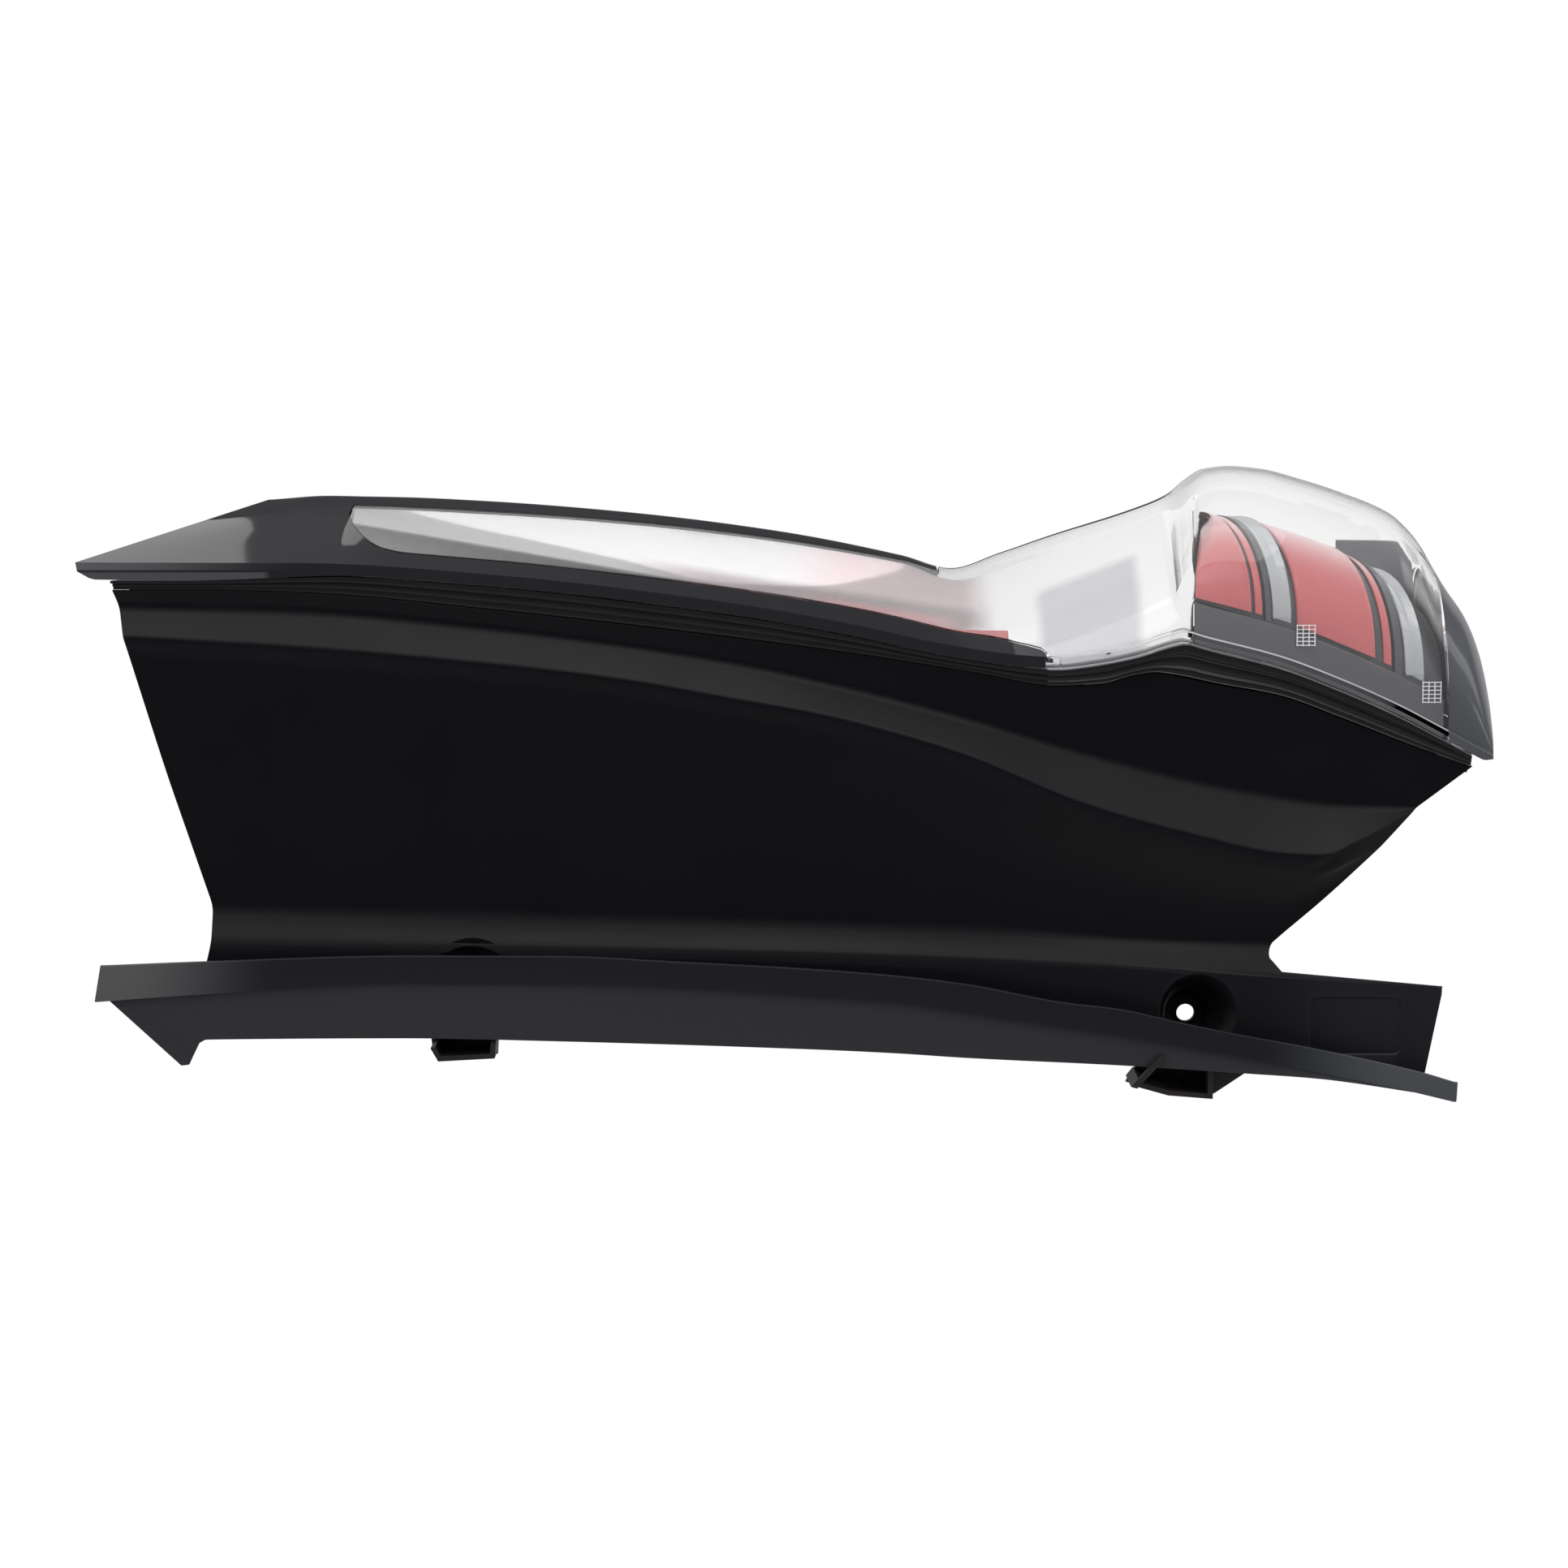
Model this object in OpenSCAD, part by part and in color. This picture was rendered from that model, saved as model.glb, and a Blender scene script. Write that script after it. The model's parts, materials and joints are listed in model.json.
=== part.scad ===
// Rear combination lamp with its body-side trim panel, lying with the lens up.
// +X is the vehicle's up direction, +Z is rearward and +Y is outboard.
// The origin is the centre of the upper bolt hole in the trim panel.

/* [Clear lens] */
// Wall of the clear lens
lens_wall = 2.4; // [2:0.1:3]
// Height of the lens foot that stands on the housing flange
lens_foot = 4.6; // [4:0.1:6]
// How far the clear foot stands out past the lens wall in the bulge
lens_lip = 2.2; // [1.5:0.1:3]
// Gap between pieces that lie side by side
gap = 0.3; // [0.2:0.05:0.4]

/* [Garnish frame and end cap] */
// Wall of the gloss frame and of the end cap
garnish_wall = 2.5; // [2:0.1:2.8]
// Gap round the lens where it shows in the frame
window_gap = 0.4; // [0.3:0.05:0.8]

/* [Housing] */
// Wall of the housing tub
housing_wall = 2.5; // [2:0.1:3.5]
// Distance of the housing's near wall behind the lens edge
housing_set_back = 11; // [9.5:0.5:12]
// Thickness of the housing's far flange
far_flange = 3.5; // [3:0.5:5]

/* [Trim panel] */
// Wall of the trim panel
panel_wall = 2.6; // [2:0.1:3.2]
// How far the drip rail stands out in front of the panel
rail_reach = 10.5; // [8:0.5:14]
// Thickness of the drip rail and of its web
rail_wall = 2.4; // [2:0.1:3]
// Step between the rail's face and the lower flange
flange_step = 1.5; // [1:0.25:2.5]
// Radius of the two bolt holes
bolt_hole_r = 3.5; // [3.2:0.05:4.5]
// Depth of the bolt pockets
pocket_depth = 12; // [10:0.5:14]
// Thickness of the pocket floor that the bolt clamps
pocket_floor = 3; // [2.5:0.25:4]
// Radius of the pocket at its floor
pocket_floor_r = 7.25; // [6.5:0.25:9]
// Radius of the pocket at its mouth
pocket_mouth_r = 15; // [13:0.5:16]
// Distance of the lower bolt hole from the upper one along the lamp
lower_bolt_x = -285.5; // [-290:0.5:-276]
// Height of the lower bolt hole
lower_bolt_z = 12; // [10:0.5:14]

/* [Brackets] */
// Thickness of the steel brackets
bracket_wall = 2; // [1.5:0.1:3]
// Radius of the bracket's hole
bracket_hole_r = 5; // [4.8:0.1:6]
// Width of the brackets
bracket_w = 27; // [24:1:30]

/* [Bulb and holder] */
// Place of the bulb along the lamp
bulb_x = -190; // [-200:1:-180]
// Place of the bulb across the lamp
bulb_y = 46; // [44:1:50]
// Radius of the bulb's glass
bulb_r = 9.5; // [8:0.25:10]
// Radius of the holder's body that passes through the housing
holder_r = 13; // [12:0.25:15]
// Radius of the holder's outer flange
holder_flange_r = 19; // [18:0.5:22]

/* [Lights in the bulge] */
// Thickness of the red inner lenses
red_wall = 1.8; // [1.5:0.1:2]
// Pitch of the ribs on the light bars, as a share of the bar's run in degrees
rib_pitch = 2; // [1.6:0.2:3]
// Height of the ribs on the light bars
rib_h = 0.6; // [0.4:0.1:0.8]
// Width of a light-emitting board
board_w = 22; // [18:1:24]
// Thickness of a board
board_t = 1.6; // [1.2:0.2:2]

/* [Connector] */
// Length of the connector inlet
inlet_l = 30; // [26:1:36]
// Width of the connector inlet
inlet_w = 18; // [16:1:22]
// Depth of the connector inlet
inlet_h = 20; // [16:1:24]
// Wall of the connector inlet
inlet_wall = 2; // [1.6:0.1:2.6]

/* [Guide pins] */
// Radius of the guide pins
guide_r = 4; // [3:0.25:5]
// Length of the straight part of the guide pins
guide_l = 20; // [16:1:26]
// How far the guide pins stand outboard of the housing flange
guide_out = 10; // [9:0.5:14]

/* [Hidden] */

// Shape of the lens: each list gives places along the lamp and the value there.
// Height of the crisp near edge
near_edge = [[-437, 178.3], [-346, 178], [-275, 173.6], [-180, 162.4], [-131, 153.8], [-98, 146.6],
    [-65, 141.8], [-52, 141.1], [-36, 142.8], [-20, 146], [-7, 150.2], [-1, 151.5], [6, 149.6],
    [36, 141.8], [60, 132.8], [83, 122.6], [100, 113.7], [121, 102.6]];
// Height of the highest line, and how far across the lamp it lies
crest_height = [[-437, 198.8], [-370, 200.3], [-350, 200.2], [-320, 199.8], [-280, 198], [-220, 193.2],
    [-160, 185.6], [-110, 175.8], [-90, 170.5], [-70, 177], [-50, 184.3], [-10, 198.2], [-2, 202.2],
    [5, 208.2], [12, 212.4], [22, 213.9], [35, 212.4], [50, 208.6], [69, 202.4], [86, 195.2],
    [96, 185.8], [102, 175.9], [108, 164.5], [113, 154], [117, 139.5], [120, 120], [120.6, 113]];
crest_across = [[-437, 96], [-350, 100], [-90, 96], [-20, 80], [10, 74], [90, 70], [121, 64]];
// The outboard edge
far_across = [[-437, 108], [-340, 120], [-90, 124], [0, 132], [80, 128], [121, 100]];
far_edge = [[-437, 176], [-372, 184], [-280, 182], [-160, 168], [-90, 150], [0, 146], [100, 116],
    [121, 102]];
// How full the near side is: 1 is a straight slope, more is a fuller shoulder
fullness = [[-437, 1], [-380, 1.2], [-275, 1.2], [-100, 1.3], [-60, 1.35], [-6, 1.4], [6, 2.3],
    [60, 2.4], [121, 2.2]];
far_fullness = 2;
// Slant of the two ends, as a sideways shift for each unit across
end_slant = [[-437, 0.68], [-350, 0.1], [-330, 0], [98, 0], [103, 0], [121, 0.13]];
// Slant of the lights in the bulge
light_slant = [[-40, 0], [2, -0.2], [90, -0.2], [102, -0.05]];
// The slim window in the gloss frame
window_start = -336;
window_end = -56;
window_near = [[-336, 62], [-333, 50], [-330, 40], [-324, 25], [-318, 17], [-308, 13], [-276, 12],
    [-180, 10.5], [-115, 11], [-82, 8], [-66, 4], [-56, 1.6]];
window_far = [[-336, 80], [-300, 79], [-220, 81], [-148, 82], [-96, 86], [-40, 70]];
far_strip_end = -96;
// Height of the gloss frame's side wall, and its thickness at the tip
garnish_side = [[-437, 3.6], [-430, 6.8], [-400, 7], [-330, 4.6]];
garnish_tip = [[-437, 4], [-424, 2.5]];
// How strongly the flange is ribbed: 0 on the slim part, 1 under the bulge
ribbed = [[-60, 0], [-20, 1]];
// Floor of the housing tub
tub_floor = [[-405, 150], [-385, 132], [-340, 112], [-270, 100], [-110, 100], [-70, 84], [82, 84],
    [98, 91]];
flat_floor_1 = 100;
flat_floor_2 = 84;
// Depth of the bright bowl under the slim window
trough = [[-338, 2], [-300, 7], [-230, 15], [-190, 19], [-150, 17], [-100, 8], [-66, 1], [2, 0]];
// Depth of the reflector's far edge under the lens
far_rise = [[-116, 6.4], [-64, 8.2]];

// Lines of the trim panel, top to bottom
panel_top = [[-423, 167.3], [-390, 167.3], [-346, 166], [-276, 159.6], [-180, 148.6],
    [-115, 139.7], [-82, 134.3], [-52, 129.3], [-34, 130.2], [-21, 133.6], [-13, 134.7], [-2, 133],
    [12, 130], [36, 125.6], [60, 117], [90, 105.4], [112, 97.7]];
crease_1 = [[-418, 160.7], [-347, 158.8], [-276, 151.9], [-239, 147.3], [-180, 138.3],
    [-147, 131.2], [-115, 123.5], [-82, 114.5], [-52, 105.5], [-12, 94.6], [6, 90.4], [37, 84.9],
    [61, 81.8], [90, 81]];
crease_2 = [[-414, 149.2], [-346, 145.1], [-275, 139.1], [-239, 135.2], [-214, 131.7],
    [-180, 125.6], [-147, 119.9], [-115, 112], [-87, 103.3], [-42, 84.7], [1, 72.5], [37, 64.8],
    [53, 64.1], [65, 68.3], [79, 74.7], [88.5, 79.6]];
crease_2_across = [[-414, -5], [-275, -7], [-115, -9], [0, -12], [53, -12], [72, -6], [88.5, 2]];
soft_line = [[-384, 43], [-276, 41], [-148, 37], [-87, 35.5], [-13, 29.5], [32, 28.2]];
flare_1 = [[-385, 37], [-148, 31], [-50, 27.5], [31, 23.6]];
flare_2 = [[-386, 31], [-148, 26], [-50, 22], [37, 17.6]];
band_top = [[-387, 27.5], [-148, 21.5], [-50, 17.5], [20, 16.5], [60, 14], [102, 11.9]];
rail_top = [[-424, 22], [-384, 23.6], [-307, 25.8], [-246, 25.6], [-198, 23.3], [-155, 21],
    [-116, 18], [-87, 14.5], [-51, 7.6], [-27, 4.6], [-2, -1], [20, -5.5], [48, -10.7], [91, -20.3],
    [104, -24.2]];
rail_foot = [[-428, 7.6], [-410, 9], [-336, 13.6], [-307, 14.6], [-283, 14.4], [-222, 13.7],
    [-186, 12.1], [-148, 9.5], [-116, 7.3], [-87, 3], [-27, -5.9], [4, -11.4], [42, -18.4],
    [65, -23.1], [85, -27.4], [104, -32]];
panel_foot = [[-395, -17.8], [-391.5, -17.3], [-389, -9.8], [-385, -7.5], [-308, -7],
    [-244, -8.3], [-148, -11.4], [-116, -12.9], [-87, -14.8], [-26, -17.8], [24, -21.1],
    [50, -23], [91, -28.8]];
band_across = -pocket_floor / 2 - pocket_depth;

// Steady slopes give a smooth line with no overshoot.
function slope(p, k) = (p[k + 1][1] - p[k][1]) / (p[k + 1][0] - p[k][0]);
function tangent(p, k) =
    k == 0 ? slope(p, 0) :
    k == len(p) - 1 ? slope(p, k - 1) :
    let(a = slope(p, k - 1), b = slope(p, k)) a * b <= 0 ? 0 : 2 * a * b / (a + b);
function stretch_at(p, x) = max([for (k = [0 : len(p) - 2]) p[k][0] <= x ? k : 0]);
function curve(p, x) =
    x <= p[0][0] ? p[0][1] :
    x >= p[len(p) - 1][0] ? p[len(p) - 1][1] :
    let(k = stretch_at(p, x), h = p[k + 1][0] - p[k][0], t = (x - p[k][0]) / h, u = 1 - t)
    p[k][1] * (1 + 2 * t) * u * u + tangent(p, k) * h * t * u * u
    + p[k + 1][1] * t * t * (3 - 2 * t) - tangent(p, k + 1) * h * t * t * u;
function span(a, b, n) = [for (i = [0 : n]) a + (b - a) * i / n];
function mix(a, b, f) = a + (b - a) * f;

// A point of a section that runs from a near point over a crest to a far point.
function arch(near, crest, far, p, q, t) =
    t <= 0.5
        ? [crest[0] - (crest[0] - near[0]) * pow(cos(180 * t), 2 / p),
            near[1] + (crest[1] - near[1]) * pow(sin(180 * t), 2 / p)]
        : [crest[0] + (far[0] - crest[0]) * pow(-cos(180 * t), 2 / q),
            far[1] + (crest[1] - far[1]) * pow(sin(180 * t), 2 / q)];
// A point of the lens surface, sunk by a depth
function lens_point(x, t, depth) =
    let(c = arch([depth, curve(near_edge, x)],
        [curve(crest_across, x), curve(crest_height, x) - depth],
        [curve(far_across, x) - depth, curve(far_edge, x)],
        curve(fullness, x), far_fullness, t))
    slanted(x, c[0], c[1]);
function slanted(x, y, z) = [x + curve(end_slant, x) * y, y, z];
// Place on the section, 0 to 0.5, of a point that lies y across
function share_at(x, y) =
    let(c = curve(crest_across, x)) acos(pow((c - y) / c, curve(fullness, x) / 2)) / 180;
// Height of the lens surface over a place
function lens_height(x, y) =
    let(c = curve(crest_across, x), n = curve(near_edge, x), h = curve(crest_height, x),
        f = curve(far_across, x), e = curve(far_edge, x), p = curve(fullness, x))
    y <= c ? n + (h - n) * pow(1 - pow((c - y) / c, p), 1 / p)
        : e + (h - e) * pow(max(0, 1 - pow((y - c) / (f - c), far_fullness)), 1 / far_fullness);
function flange_top(x) = curve(near_edge, x) - max(lens_foot, curve(garnish_side, x)) - gap;

// A wall between an upper and a lower grid of points. A cell that keep refuses is left open.
module sheet(upper, lower, keep = function(i, j) true) {
    n = len(upper);
    m = len(upper[0]);
    held = function(i, j) i >= 0 && j >= 0 && i < n - 1 && j < m - 1 && keep(i, j);
    a = function(i, j) i * m + j;
    b = function(i, j) (n + i) * m + j;
    cells = [for (i = [0 : n - 2]) for (j = [0 : m - 2]) if (held(i, j)) [i, j]];
    faces = [for (c = cells) let(i = c[0], j = c[1], k = i + 1, l = j + 1) each concat(
        [[a(i, j), a(i, l), a(k, l)], [a(i, j), a(k, l), a(k, j)],
            [b(i, j), b(k, j), b(k, l)], [b(i, j), b(k, l), b(i, l)]],
        held(i, j - 1) ? [] : [[a(i, j), a(k, j), b(k, j)], [a(i, j), b(k, j), b(i, j)]],
        held(i, l) ? [] : [[a(i, l), b(k, l), a(k, l)], [a(i, l), b(i, l), b(k, l)]],
        held(i - 1, j) ? [] : [[a(i, l), a(i, j), b(i, j)], [a(i, l), b(i, j), b(i, l)]],
        held(k, j) ? [] : [[a(k, j), a(k, l), b(k, l)], [a(k, j), b(k, l), b(k, j)]])];
    polyhedron(points = concat([for (r = upper) each r], [for (r = lower) each r]), faces = faces,
        convexity = 8);
}

// Clear lens
lens_start = -345;
lens_end = 102.6;
// Places that the lens and the frame share, so that their walls run alongside each other
shared_stations = concat([-333, -329, -324, -317, -308], span(-290, -110, 8));
lens_stations = concat([lens_start, -340, window_start, window_start + window_gap], shared_stations,
    [far_strip_end + gap, far_strip_end + 1, -84, -72, -64, window_end + gap, window_end + 1],
    [-45, -33, -20, -10, -4, 0, 4, 9], span(16, 86, 6), [94, lens_end]);
// The lens lies under the gloss frame and comes up flush in the window and past it.
sunk = garnish_wall + gap;
near_sunk = [[window_end + gap, 1], [window_end + 1, 0]];
far_sunk = [[far_strip_end + gap, 1], [far_strip_end + 1, 0]];
lens_inside = [[window_end, 1], [window_end + 16, 0]];
ribbed_lip = [[window_end + gap, 0], [window_end + 6, 1]];
function near_line(x, extra) =
    x < window_end ? share_at(x, curve(window_near, x) + extra) : mix(0.035, 0.07,
        min(1, (x - window_end) / 50)) + extra * 0.006;
function far_line(x, extra) =
    x < -40 ? share_at(x, curve(window_far, x) + extra) : 0.36 + extra * 0.006;
function lip_across(x) = mix(sunk, -lens_lip, curve(ribbed_lip, x));
// Shares of each row of the lens, from the near edge to the far one
function lens_shares(x) = concat([0, near_line(x, 0)],
    [for (f = [0 : 0.2 : 1]) mix(near_line(x, window_gap), far_line(x, 0), f)],
    [far_line(x, window_gap)], far_shares);
far_shares = [0.5, 0.62, 0.75, 0.88, 1];
function lens_depths(x) =
    let(n = sunk * curve(near_sunk, x), f = sunk * curve(far_sunk, x),
        w = x <= window_start ? sunk : 0)
    [n, n, w, w, w, w, w, w, f, f, f, f, f, f];
function lens_row(x, inside) =
    let(foot = curve(near_edge, x), y = lip_across(x), w = inside ? lens_wall : 0,
        s = lens_shares(x), d = lens_depths(x),
        deep = lens_wall + sunk * curve(lens_inside, x))
    concat([slanted(x, y + w, foot - lens_foot), slanted(x, y + w, foot - 0.6 - w * 0.8)],
        [for (k = [0 : len(s) - 1]) lens_point(x, s[k], inside ? deep : d[k])]);
module outer_lens() {
    color([0.92, 0.93, 0.94, 0.5])
    sheet([for (x = lens_stations) lens_row(x, false)], [for (x = lens_stations) lens_row(x, true)]);
}

// Gloss black frame: the tip, a near strip and a far strip round the slim window
garnish_stations = concat([-437, -430, -422, -412, -400, -386, -370, lens_start],
    [window_start - window_gap], shared_stations,
    [far_strip_end, -84, -72, -64, window_end]);
window_row = 2;
window_rows = 5;
function garnish_shares(x) = concat(
    [for (f = [0 : 0.2 : 1]) mix(near_line(x, -window_gap), far_line(x, 2 * window_gap), f)],
    far_shares);
function garnish_row(x, inside) =
    let(foot = curve(near_edge, x), w = inside ? max(garnish_wall, curve(garnish_tip, x)) : 0)
    concat([slanted(x, inside ? w : 0.8, foot - curve(garnish_side, x)), slanted(x, w, foot)],
        [for (s = garnish_shares(x)) lens_point(x, s, w)]);
module gloss_garnish() {
    x = garnish_stations;
    keep = function(i, j)
        (x[i] < window_start - window_gap || j < window_row || j >= window_row + window_rows)
        && (x[i] < far_strip_end || j < window_row);
    color([0.04, 0.04, 0.05])
    sheet([for (s = x) garnish_row(s, false)], [for (s = x) garnish_row(s, true)], keep);
}

// Smoked cap over the right end
cap_stations = [lens_end + gap, 105, 108, 111, 114, 116.5, 118.5, 120, 120.6];
cap_shares = [0, 0.05, 0.1, 0.17, 0.25, 0.33, 0.42, 0.5, 0.6, 0.72, 0.86, 1];
cap_foot = [[lens_end, lens_foot], [116, 4.4], [120.6, 2]];
function cap_row(x, inside) =
    let(foot = curve(near_edge, x), w = inside ? garnish_wall : 0)
    concat([slanted(x, w - 1.5, foot - curve(cap_foot, x)), slanted(x, w - 1.5, foot - 0.8 - w * 0.6)],
        [for (s = cap_shares) lens_point(x, s, w)]);
// Its end is solid past the housing's flange. Its foot stays above the front edge, seen from the front.
flange_end = 112;
cap_end_stations = [flange_end + 1, 116, 118, 119.6];
cap_base = 100.2;
cap_sight = 0.105;
function cap_floor(x, y) =
    max(cap_base, curve(near_edge, x) - curve(cap_foot, x) + 0.5 - cap_sight * y);
function cap_end_row(x, low) = [for (s = cap_shares)
    let(p = lens_point(x, s, garnish_wall / 2), y = s == 0 ? 0.2 : p[1])
    slanted(x, y, low ? cap_floor(x, y) : p[2])];
module end_cap() {
    color([0.27, 0.28, 0.3]) {
        sheet([for (x = cap_stations) cap_row(x, false)], [for (x = cap_stations) cap_row(x, true)]);
        sheet([for (x = cap_end_stations) cap_end_row(x, false)],
            [for (x = cap_end_stations) cap_end_row(x, true)]);
    }
}

// Black tub with the ribbed flange that carries the lens
tub_start = -405;
flange_start = -424;
tub_end = 98;
end_wall = 3;
tub_stations = concat([flange_start, -415, tub_start, tub_start + end_wall, -390, -370, -345, -310],
    span(-270, -110, 5), [-96, -84, -70, -52, -36, -20, -10, 0, 8, 24, 42, 60, 76, 82, 90],
    [tub_end - end_wall, tub_end, 105, flange_end]);
rib_steps = [[0, 0], [0.28, 0], [0.36, 1], [0.62, 1], [0.7, 2], [0.96, 2]];
function rib_across(x, k) = mix(k == 0 ? 0.8 : 1.6 + k * 0.4, -1.9 + k * 1.6, curve(ribbed, x));
// The far wall stands in from the edge; the floor's corners are cut off
far_wall_in = 6.5;
corner_cut = 4;
floor_corner = 7;
end_floor = 9;
end_thick = 5.6;
// A rounded ledge behind the flange, as steps across and down
ledge = [[0, 0], [1.2, 0.4], [2.3, 0.8], [3.3, 1.5], [4.2, 2.3], [5, 3.4], [5.5, 5]];
ledge_reach = 5.5;
function tub_floor_at(x) = curve(tub_floor, x);
function is_end(x) = x <= tub_start || x >= tub_end;
function housing_row(x, inside) =
    let(top = flange_top(x), foot = curve(panel_top, x) + gap, h = top - foot,
        back = curve(far_across, x), far = curve(far_edge, x), side = housing_set_back,
        low = x < tub_start || x > tub_end ? min(top, far) - end_floor : tub_floor_at(x),
        base = is_end(x) ? min(top, far) - end_floor + end_thick : low + housing_wall,
        cut = is_end(x) ? 0.6 : corner_cut + housing_wall, w = housing_wall,
        wall = back - far_wall_in, under = far - gap - far_flange)
    inside
        ? concat([for (s = ledge) slanted(x, side + w - ledge_reach + s[0], top - s[1])],
            [slanted(x, side + w, base + cut), slanted(x, side + floor_corner + 1, base),
                slanted(x, back - side - corner_cut, base), slanted(x, wall - w, base + cut),
                slanted(x, wall - w, far - 2 * w), slanted(x, wall - w, far - w),
                slanted(x, wall - w, far - gap)])
        : concat([for (s = rib_steps) slanted(x, rib_across(x, s[1]), top - h * s[0])],
            [slanted(x, side, foot), slanted(x, side, low + corner_cut),
                slanted(x, side + floor_corner, low), slanted(x, back - side - corner_cut + 1, low),
                slanted(x, wall, low + corner_cut), slanted(x, wall, under),
                slanted(x, back + 1, under), slanted(x, back + 1, far - gap)]);
module rear_housing() {
    color([0.07, 0.07, 0.08])
    difference() {
        sheet([for (x = tub_stations) housing_row(x, true)],
            [for (x = tub_stations) housing_row(x, false)]);
        translate([bulb_x, bulb_y, flat_floor_1 - housing_wall])
            cylinder(h = 3 * housing_wall, r = holder_r + gap, $fn = 64);
    }
}

// Trim panel. Each row has its left end, its right end, its height line and its place across.
rail_front = band_across - rail_reach;
// The lower flange hangs from the rail, a little behind its face.
foot_across = rail_front + flange_step;
// Ends of the rail along the lamp
rail_start = -427;
rail_end = 105;
web_top = [for (p = rail_foot) [p[0], p[1] + rail_wall]];
crease_drop = 7;
below_crease = [for (p = crease_2) [p[0], p[1] - crease_drop]];
below_crease_across = [for (p = crease_2_across) [p[0], p[1] + 1.2]];
half_way = [for (x = [-401.5, -275, -147, -42, 20, 53.5])
    [x, mix(curve(crease_2, x), curve(soft_line, x), 0.5)]];
panel_rows = [
    [-423, 112.8, panel_top, [[0, 2]]],
    [-420.5, 91, crease_1, [[0, 4]]],
    [-418, 89.5, crease_2, crease_2_across],
    [-416, 76.5, below_crease, below_crease_across],
    [-401.5, 54.2, half_way, [[0, -6]]],
    [-384, 33, soft_line, [[0, -5.5]]],
    [-384, 31.8, flare_1, [[0, -8.5]]],
    [-384, 35.6, flare_2, [[0, -12.2]]],
    [-384.5, 100.3, band_top, [[0, band_across]]],
    [-388, 92.6, web_top, [[0, band_across]]],
    [rail_start, rail_end, web_top, [[0, rail_front + rail_wall]]],
    [rail_start + 1, rail_end, rail_top, [[0, rail_front + rail_wall]]],
    [rail_start + 1, rail_end, rail_top, [[0, rail_front]]],
    [-428.5, 104.6, rail_foot, [[0, rail_front]]],
    [-423, 91.1, rail_foot, [[0, foot_across]]],
    [-395, 90.8, panel_foot, [[0, foot_across]]],
    [-388, 92.6, rail_foot, [[0, band_across]]]];
// Rows that have a partner on the back of the wall; the last row has only the partner.
wall_rows = [15, 14, 16, 8, 7, 6, 5, 4, 3, 2, 1, 0];
// Shares of the panel's run, closer together at its ends
panel_runs = concat([0, 0.008, 0.018, 0.032, 0.05], span(0.075, 0.925, 34), [0.95, 0.97, 0.985, 1]);
panel_run = len(panel_runs) - 1;
function panel_across(p, x) = len(p) == 1 ? p[0][1] : curve(p, x);
function panel_point(k, f, back) =
    let(r = panel_rows[k], x = mix(r[0], r[1], f)) [x, panel_across(r[3], x) + back, curve(r[2], x)];
module panel_skin() {
    front = len(panel_rows) - 1;
    all = front + len(wall_rows);
    n = panel_run;
    pts = [for (i = [0 : n]) each concat([for (k = [0 : front - 1]) panel_point(k, panel_runs[i], 0)],
        [for (k = wall_rows) panel_point(k, panel_runs[i], panel_wall)])];
    // The end face: the wall's quads, then the web and the rail
    quads = concat([for (k = [0 : 8]) [k, k + 1, all - 2 - k, all - 1 - k]],
        [[9, 14, front + 1, front + 2], [14, 15, front, front + 1], [9, 10, 13, 14],
            [10, 11, 12, 13]]);
    sides = [for (i = [0 : n - 1]) for (k = [0 : all - 1]) let(l = (k + 1) % all)
        each [[i * all + k, (i + 1) * all + k, (i + 1) * all + l],
            [i * all + k, (i + 1) * all + l, i * all + l]]];
    ends = [for (q = quads) each [[q[0], q[1], q[2]], [q[0], q[2], q[3]],
        [n * all + q[0], n * all + q[2], n * all + q[1]],
        [n * all + q[0], n * all + q[3], n * all + q[2]]]];
    polyhedron(points = pts, faces = concat(sides, ends), convexity = 8);
}
// Places on a bolt axis, measured from the middle of the pocket floor towards the viewer
module on_bolt(x, z, out) translate([x, -out, z]) rotate([90, 0, 0]) children();
module at_bolts() {
    for (b = [[0, 0], [lower_bolt_x, lower_bolt_z]]) translate([b[0], 0, b[1]]) children();
}
cup_wall = 2.4;
// The pocket's mouth lies off the bolt's axis, to the right and up
mouth_off = [4, 2];
// A disc of a pocket, a way out from the middle of the floor
module pocket_disc(out, r, off) {
    on_bolt(off[0], off[1], out) cylinder(h = 0.1, r = r, $fn = 48);
}
module pocket_cup() {
    hull() {
        pocket_disc(-pocket_floor / 2, pocket_floor_r + cup_wall, [0, 0]);
        pocket_disc(pocket_floor / 2, pocket_floor_r + cup_wall, [0, 0]);
        pocket_disc(-band_across - panel_wall / 2 - 0.2, pocket_mouth_r + cup_wall, mouth_off);
    }
}
module pocket_hollow() {
    hull() {
        pocket_disc(pocket_floor / 2, pocket_floor_r, [0, 0]);
        pocket_disc(pocket_depth + pocket_floor / 2 + 0.1, pocket_mouth_r, mouth_off);
    }
    on_bolt(0, 0, -pocket_floor / 2 - 1) cylinder(h = pocket_floor + 2, r = bolt_hole_r, $fn = 48);
}
// Shallow rounded field on the tab, as left end, foot, length and height
field = [48, -15, 36, 23];
field_depth = 0.5;
field_r = 3;
module tab_field() {
    translate([field[0] + field_r, band_across + field_depth, field[1] + field_r]) rotate([90, 0, 0])
    linear_extrude(2 * field_depth) hull() {
        for (x = [0, field[2] - 2 * field_r], z = [0, field[3] - 2 * field_r])
            translate([x, z]) circle(r = field_r, $fn = 24);
    }
}
module side_panel() {
    color([0.09, 0.09, 0.1])
    difference() {
        union() {
            panel_skin();
            at_bolts() pocket_cup();
        }
        at_bolts() pocket_hollow();
        tab_field();
    }
}

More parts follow.
